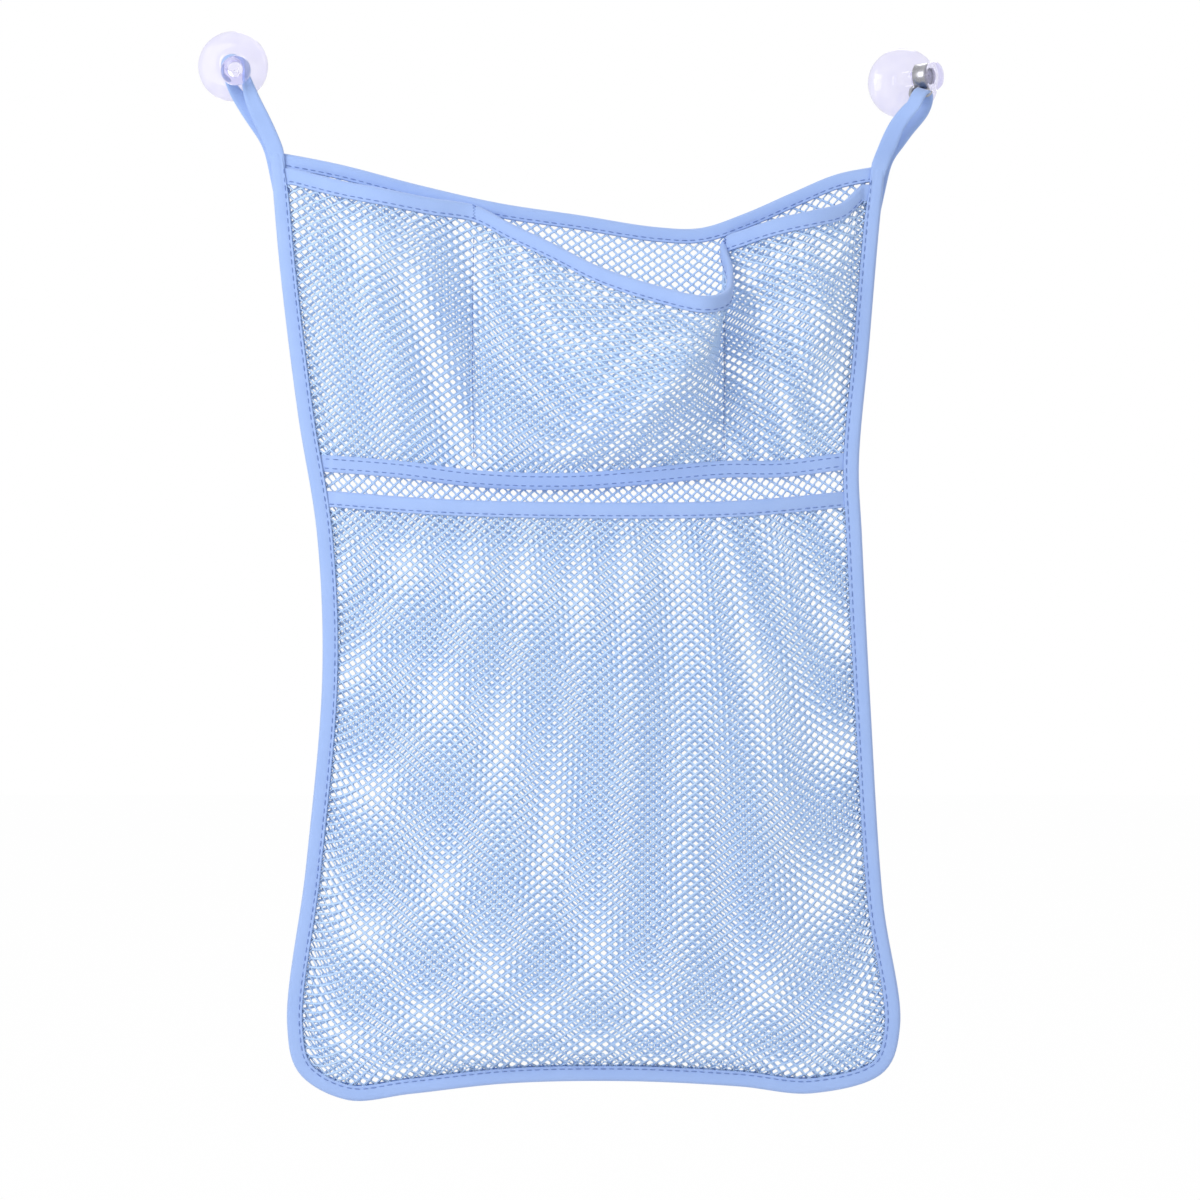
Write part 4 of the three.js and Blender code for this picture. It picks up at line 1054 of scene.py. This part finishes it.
hook_points = np.vstack([collar_points.reshape(-1, 3), wire_points.reshape(-1, 3)])
collar_faces = tube_faces(len(collar_profile), collar_sides, closed=True)
wire_size = len(wire_path), wire_sides, len(collar_profile) * collar_sides
hook_faces = [collar_faces, tube_faces(*wire_size), tube_ends(*wire_size)]
hook = make_piece("steel_hook_and_collar", hook_points, hook_faces, plated_steel)
fit(hook, "hook", "steel_hook")


# Hanging loops. The same woven tape goes up from each corner of the bag, over the cup's neck or the hook, and
# back down; its tail is sewn behind the side binding and the other end runs into the binding's fold.
loop_width = 8.6
loop_half = 0.7
loop_steps = 40
loop_forward = 1.5
loop_shift = 0.8
loop_part = 2.2
loop_ease = 24
arch_steps = 20
arch_ease = 9
loop_lean = 2.6
seat_handles = (0.06, 0.3)
foot_handle = 0.4
bulge_rises = (0.55, 0.4)
bulge_tops = (0.6, 1.0)
neck_seat_along = 4.3
neck_seat_play = 0.45
hook_loop_radius = 6.5
hook_loop_gap = 1.3
hinge_gap = 1.2
left_tail_length = 22
right_tail_length = 24
tail_plane = 1.0
tail_middle = 4.0
tuck_width = 6.4
tuck_length = 11
tuck_proud = 0.35
tuck_sink = 1.5
bunch_swell = 0.3
bunch_curl = 1.0
loop_shapes = {
    "left": {"saddle": 5.6, "bow": -1.0, "skew": 0.0},
    "right": {"saddle": 7.2, "bow": -2.0, "skew": 0.5},
}
loop_ply = (binding_plane + binding_half - loop_half - tail_plane) / 2


def turned_about(vector, axis, angle):
    """Vectors turned about unit axes by angles."""
    c, s = np.cos(angle)[:, None], np.sin(angle)[:, None]
    return vector * c + np.cross(axis, vector) * s + axis * np.sum(axis * vector, -1, keepdims=True) * (1 - c)


def eased(run, times):
    """Run whose bends are rounded: each place moves, again and again, to the middle of its neighbours."""
    for _ in range(times):
        run = np.concatenate([run[:1], (run[:-2] + 2 * run[1:-1] + run[2:]) / 4, run[-1:]])
    return run


def hanging_loop(turn, foot, seat, seat_axis, radius, tail_run, saddle, bow, skew):
    """Path and widths of the tape: both strands leave the seat as a cubic curve to the foot, turning about
    their middle line until one lies behind the other, and an arch joins them over the seat. Past the foot
    the back one goes down behind the binding and the front one sinks into the binding's face. Skew turns the
    way that they leave from square to the seat towards the foot, and bow pushes their middle sideways."""
    away = foot - seat
    reach = np.linalg.norm(away)
    leave = unit(mix(unit(away - (away @ seat_axis) * seat_axis), away / reach, skew))
    near_seat = seat + mix(*seat_handles, skew) * reach * leave
    near_foot = mix(foot, seat, foot_handle) - (0, loop_forward, 0)
    t = np.linspace(0, 1, loop_steps)
    s = t[:, None]
    middle = (1 - s) ** 3 * seat + 3 * s * (1 - s) ** 2 * near_seat
    middle = middle + 3 * s**2 * (1 - s) * near_foot + s**3 * foot
    bulge = smooth_step(0.0, mix(*bulge_rises, skew), t) * (1 - smooth_step(0.4, 1.0, t))
    middle = middle + bow * (bulge / mix(*bulge_tops, skew))[:, None] * (1.0, 0.0, 0.0)
    along = unit(np.gradient(middle, axis=0))
    along[0] = leave
    front = np.array([0.0, -turn, 0.0])
    top_side = unit(np.cross(along, seat_axis))
    foot_side = unit(front + turn * along[:, 1:2] * along)
    angle = np.arccos(np.clip(np.sum(top_side * foot_side, -1), -1, 1))
    sense = np.sign(np.sum(np.cross(top_side, foot_side) * along, -1))
    side = turned_about(top_side, along, np.where(sense == 0, 1, sense) * angle * smooth_step(0, 0.62, t))
    level = smooth_step(0.6, 1.0, t)[:, None]
    width_way = unit(mix(np.cross(side, along), np.array([turn, 0.0, 0.0]), level))
    side = unit(mix(side, front, level))
    half = radius + loop_half
    spread = mix(half, loop_ply, smooth_step(0.05, 0.85, t))[:, None]
    parted = loop_part * smooth_step(0.0, 0.5, t) * (1 - smooth_step(0.45, 0.95, t))
    shift = (loop_shift * smooth_step(0.3, 1.0, t) + parted)[:, None] * width_way
    arch_turn = np.linspace(0, np.pi, arch_steps)[1:-1, None]
    arch_out = -np.cos(arch_turn) * side[0] - np.sin(arch_turn) * along[0]
    arch_way = np.repeat(width_way[:1], len(arch_out), 0)
    arch = [seat + half * arch_out, arch_way, arch_out, np.full(len(arch_out), saddle)]

    inward = left_hand(tail_run) if turn < 0 else left_hand(tail_run[::-1])[::-1]
    tail_reach = tail_middle - loop_lean * (1 - np.linspace(0, 1, len(tail_run)))
    tuck_share = np.linspace(0, 1, tuck_length)
    tuck_reach = mix(tail_middle - loop_lean + 2 * loop_shift, binding_width / 2, tuck_share)
    tuck_depth = tail_plane + 2 * loop_ply + tuck_proud - tuck_sink * tuck_share**2
    tuck_run = tail_run[:tuck_length] + tuck_reach[:, None] * inward[:tuck_length]
    tails = {
        turn: (in_space(tuck_run, tuck_depth), tuck_width),
        -turn: (in_space(tail_run + tail_reach[:, None] * inward, tail_plane), loop_width),
    }
    upper_widths = mix(saddle, loop_width, smooth_step(0.2, 0.8, t))
    strands = {}
    for sign in (-1, 1):
        tail, last_width = tails[sign]
        path = [middle + sign * (spread * side - turn * shift), width_way, sign * side]
        past = [tail, -in_space(inward, 0.0)[: len(tail)], np.tile(sign * front, (len(tail), 1))]
        origin, across, outward = (eased(np.concatenate(parts), loop_ease) for parts in zip(path, past))
        widths = np.concatenate([upper_widths, np.linspace(loop_width, last_width, len(tail))])
        strands[sign] = [origin, unit(across), unit(outward), widths]
    origin, *rest = (np.concatenate([a[::-1], b, c]) for a, b, c in zip(strands[-1], arch, strands[1]))
    return [eased(origin, arch_ease), *rest]


def loop_tape(name, origin, across, outward, widths):
    """Tape whose width changes along its path: where bunched it thickens and its edges curl outward."""
    section = flat_section(loop_width, loop_half)
    share = section[:, 0] / (loop_width / 2)
    bunch = (1 - widths / loop_width)[:, None]
    b = section[:, 1] * (1 + bunch_swell * bunch) + bunch_curl * bunch * (share**2 - 0.2)
    return tape_piece(name, (origin, across, outward), share * widths[:, None] / 2, b, run_length(section))


foot_inset = tail_middle - loop_lean + loop_shift
foot_depth = tail_plane + loop_ply
left_neck, left_axis = necks["left"]
left_seat = left_neck + neck_seat_along * left_axis
trough_middle = hook_point(np.array([trough_width / 2 - trough_back, trough_drop]))
right_seat = trough_middle - (hook_loop_radius - wire_radius - hook_loop_gap) * up
left_tail, right_tail = outline[:left_tail_length], outline[::-1][:right_tail_length]
loops = {
    "left": (-1, left_corner, left_seat, left_axis, neck_radius + neck_seat_play, left_tail),
    "right": (1, right_corner, right_seat, hook_axis, hook_loop_radius, right_tail),
}
for side_name, (turn, corner, *seat_and_tail) in loops.items():
    foot = np.array([corner[0] - turn * foot_inset, -foot_depth, corner[1] + hinge_gap])
    path_and_widths = hanging_loop(turn, foot, *seat_and_tail, **loop_shapes[side_name])
    loop = loop_tape(f"{side_name}_hanging_loop", *path_and_widths)
    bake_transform(loop)
    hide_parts(f"{side_name}_loop", f"{side_name}_loop_tail")
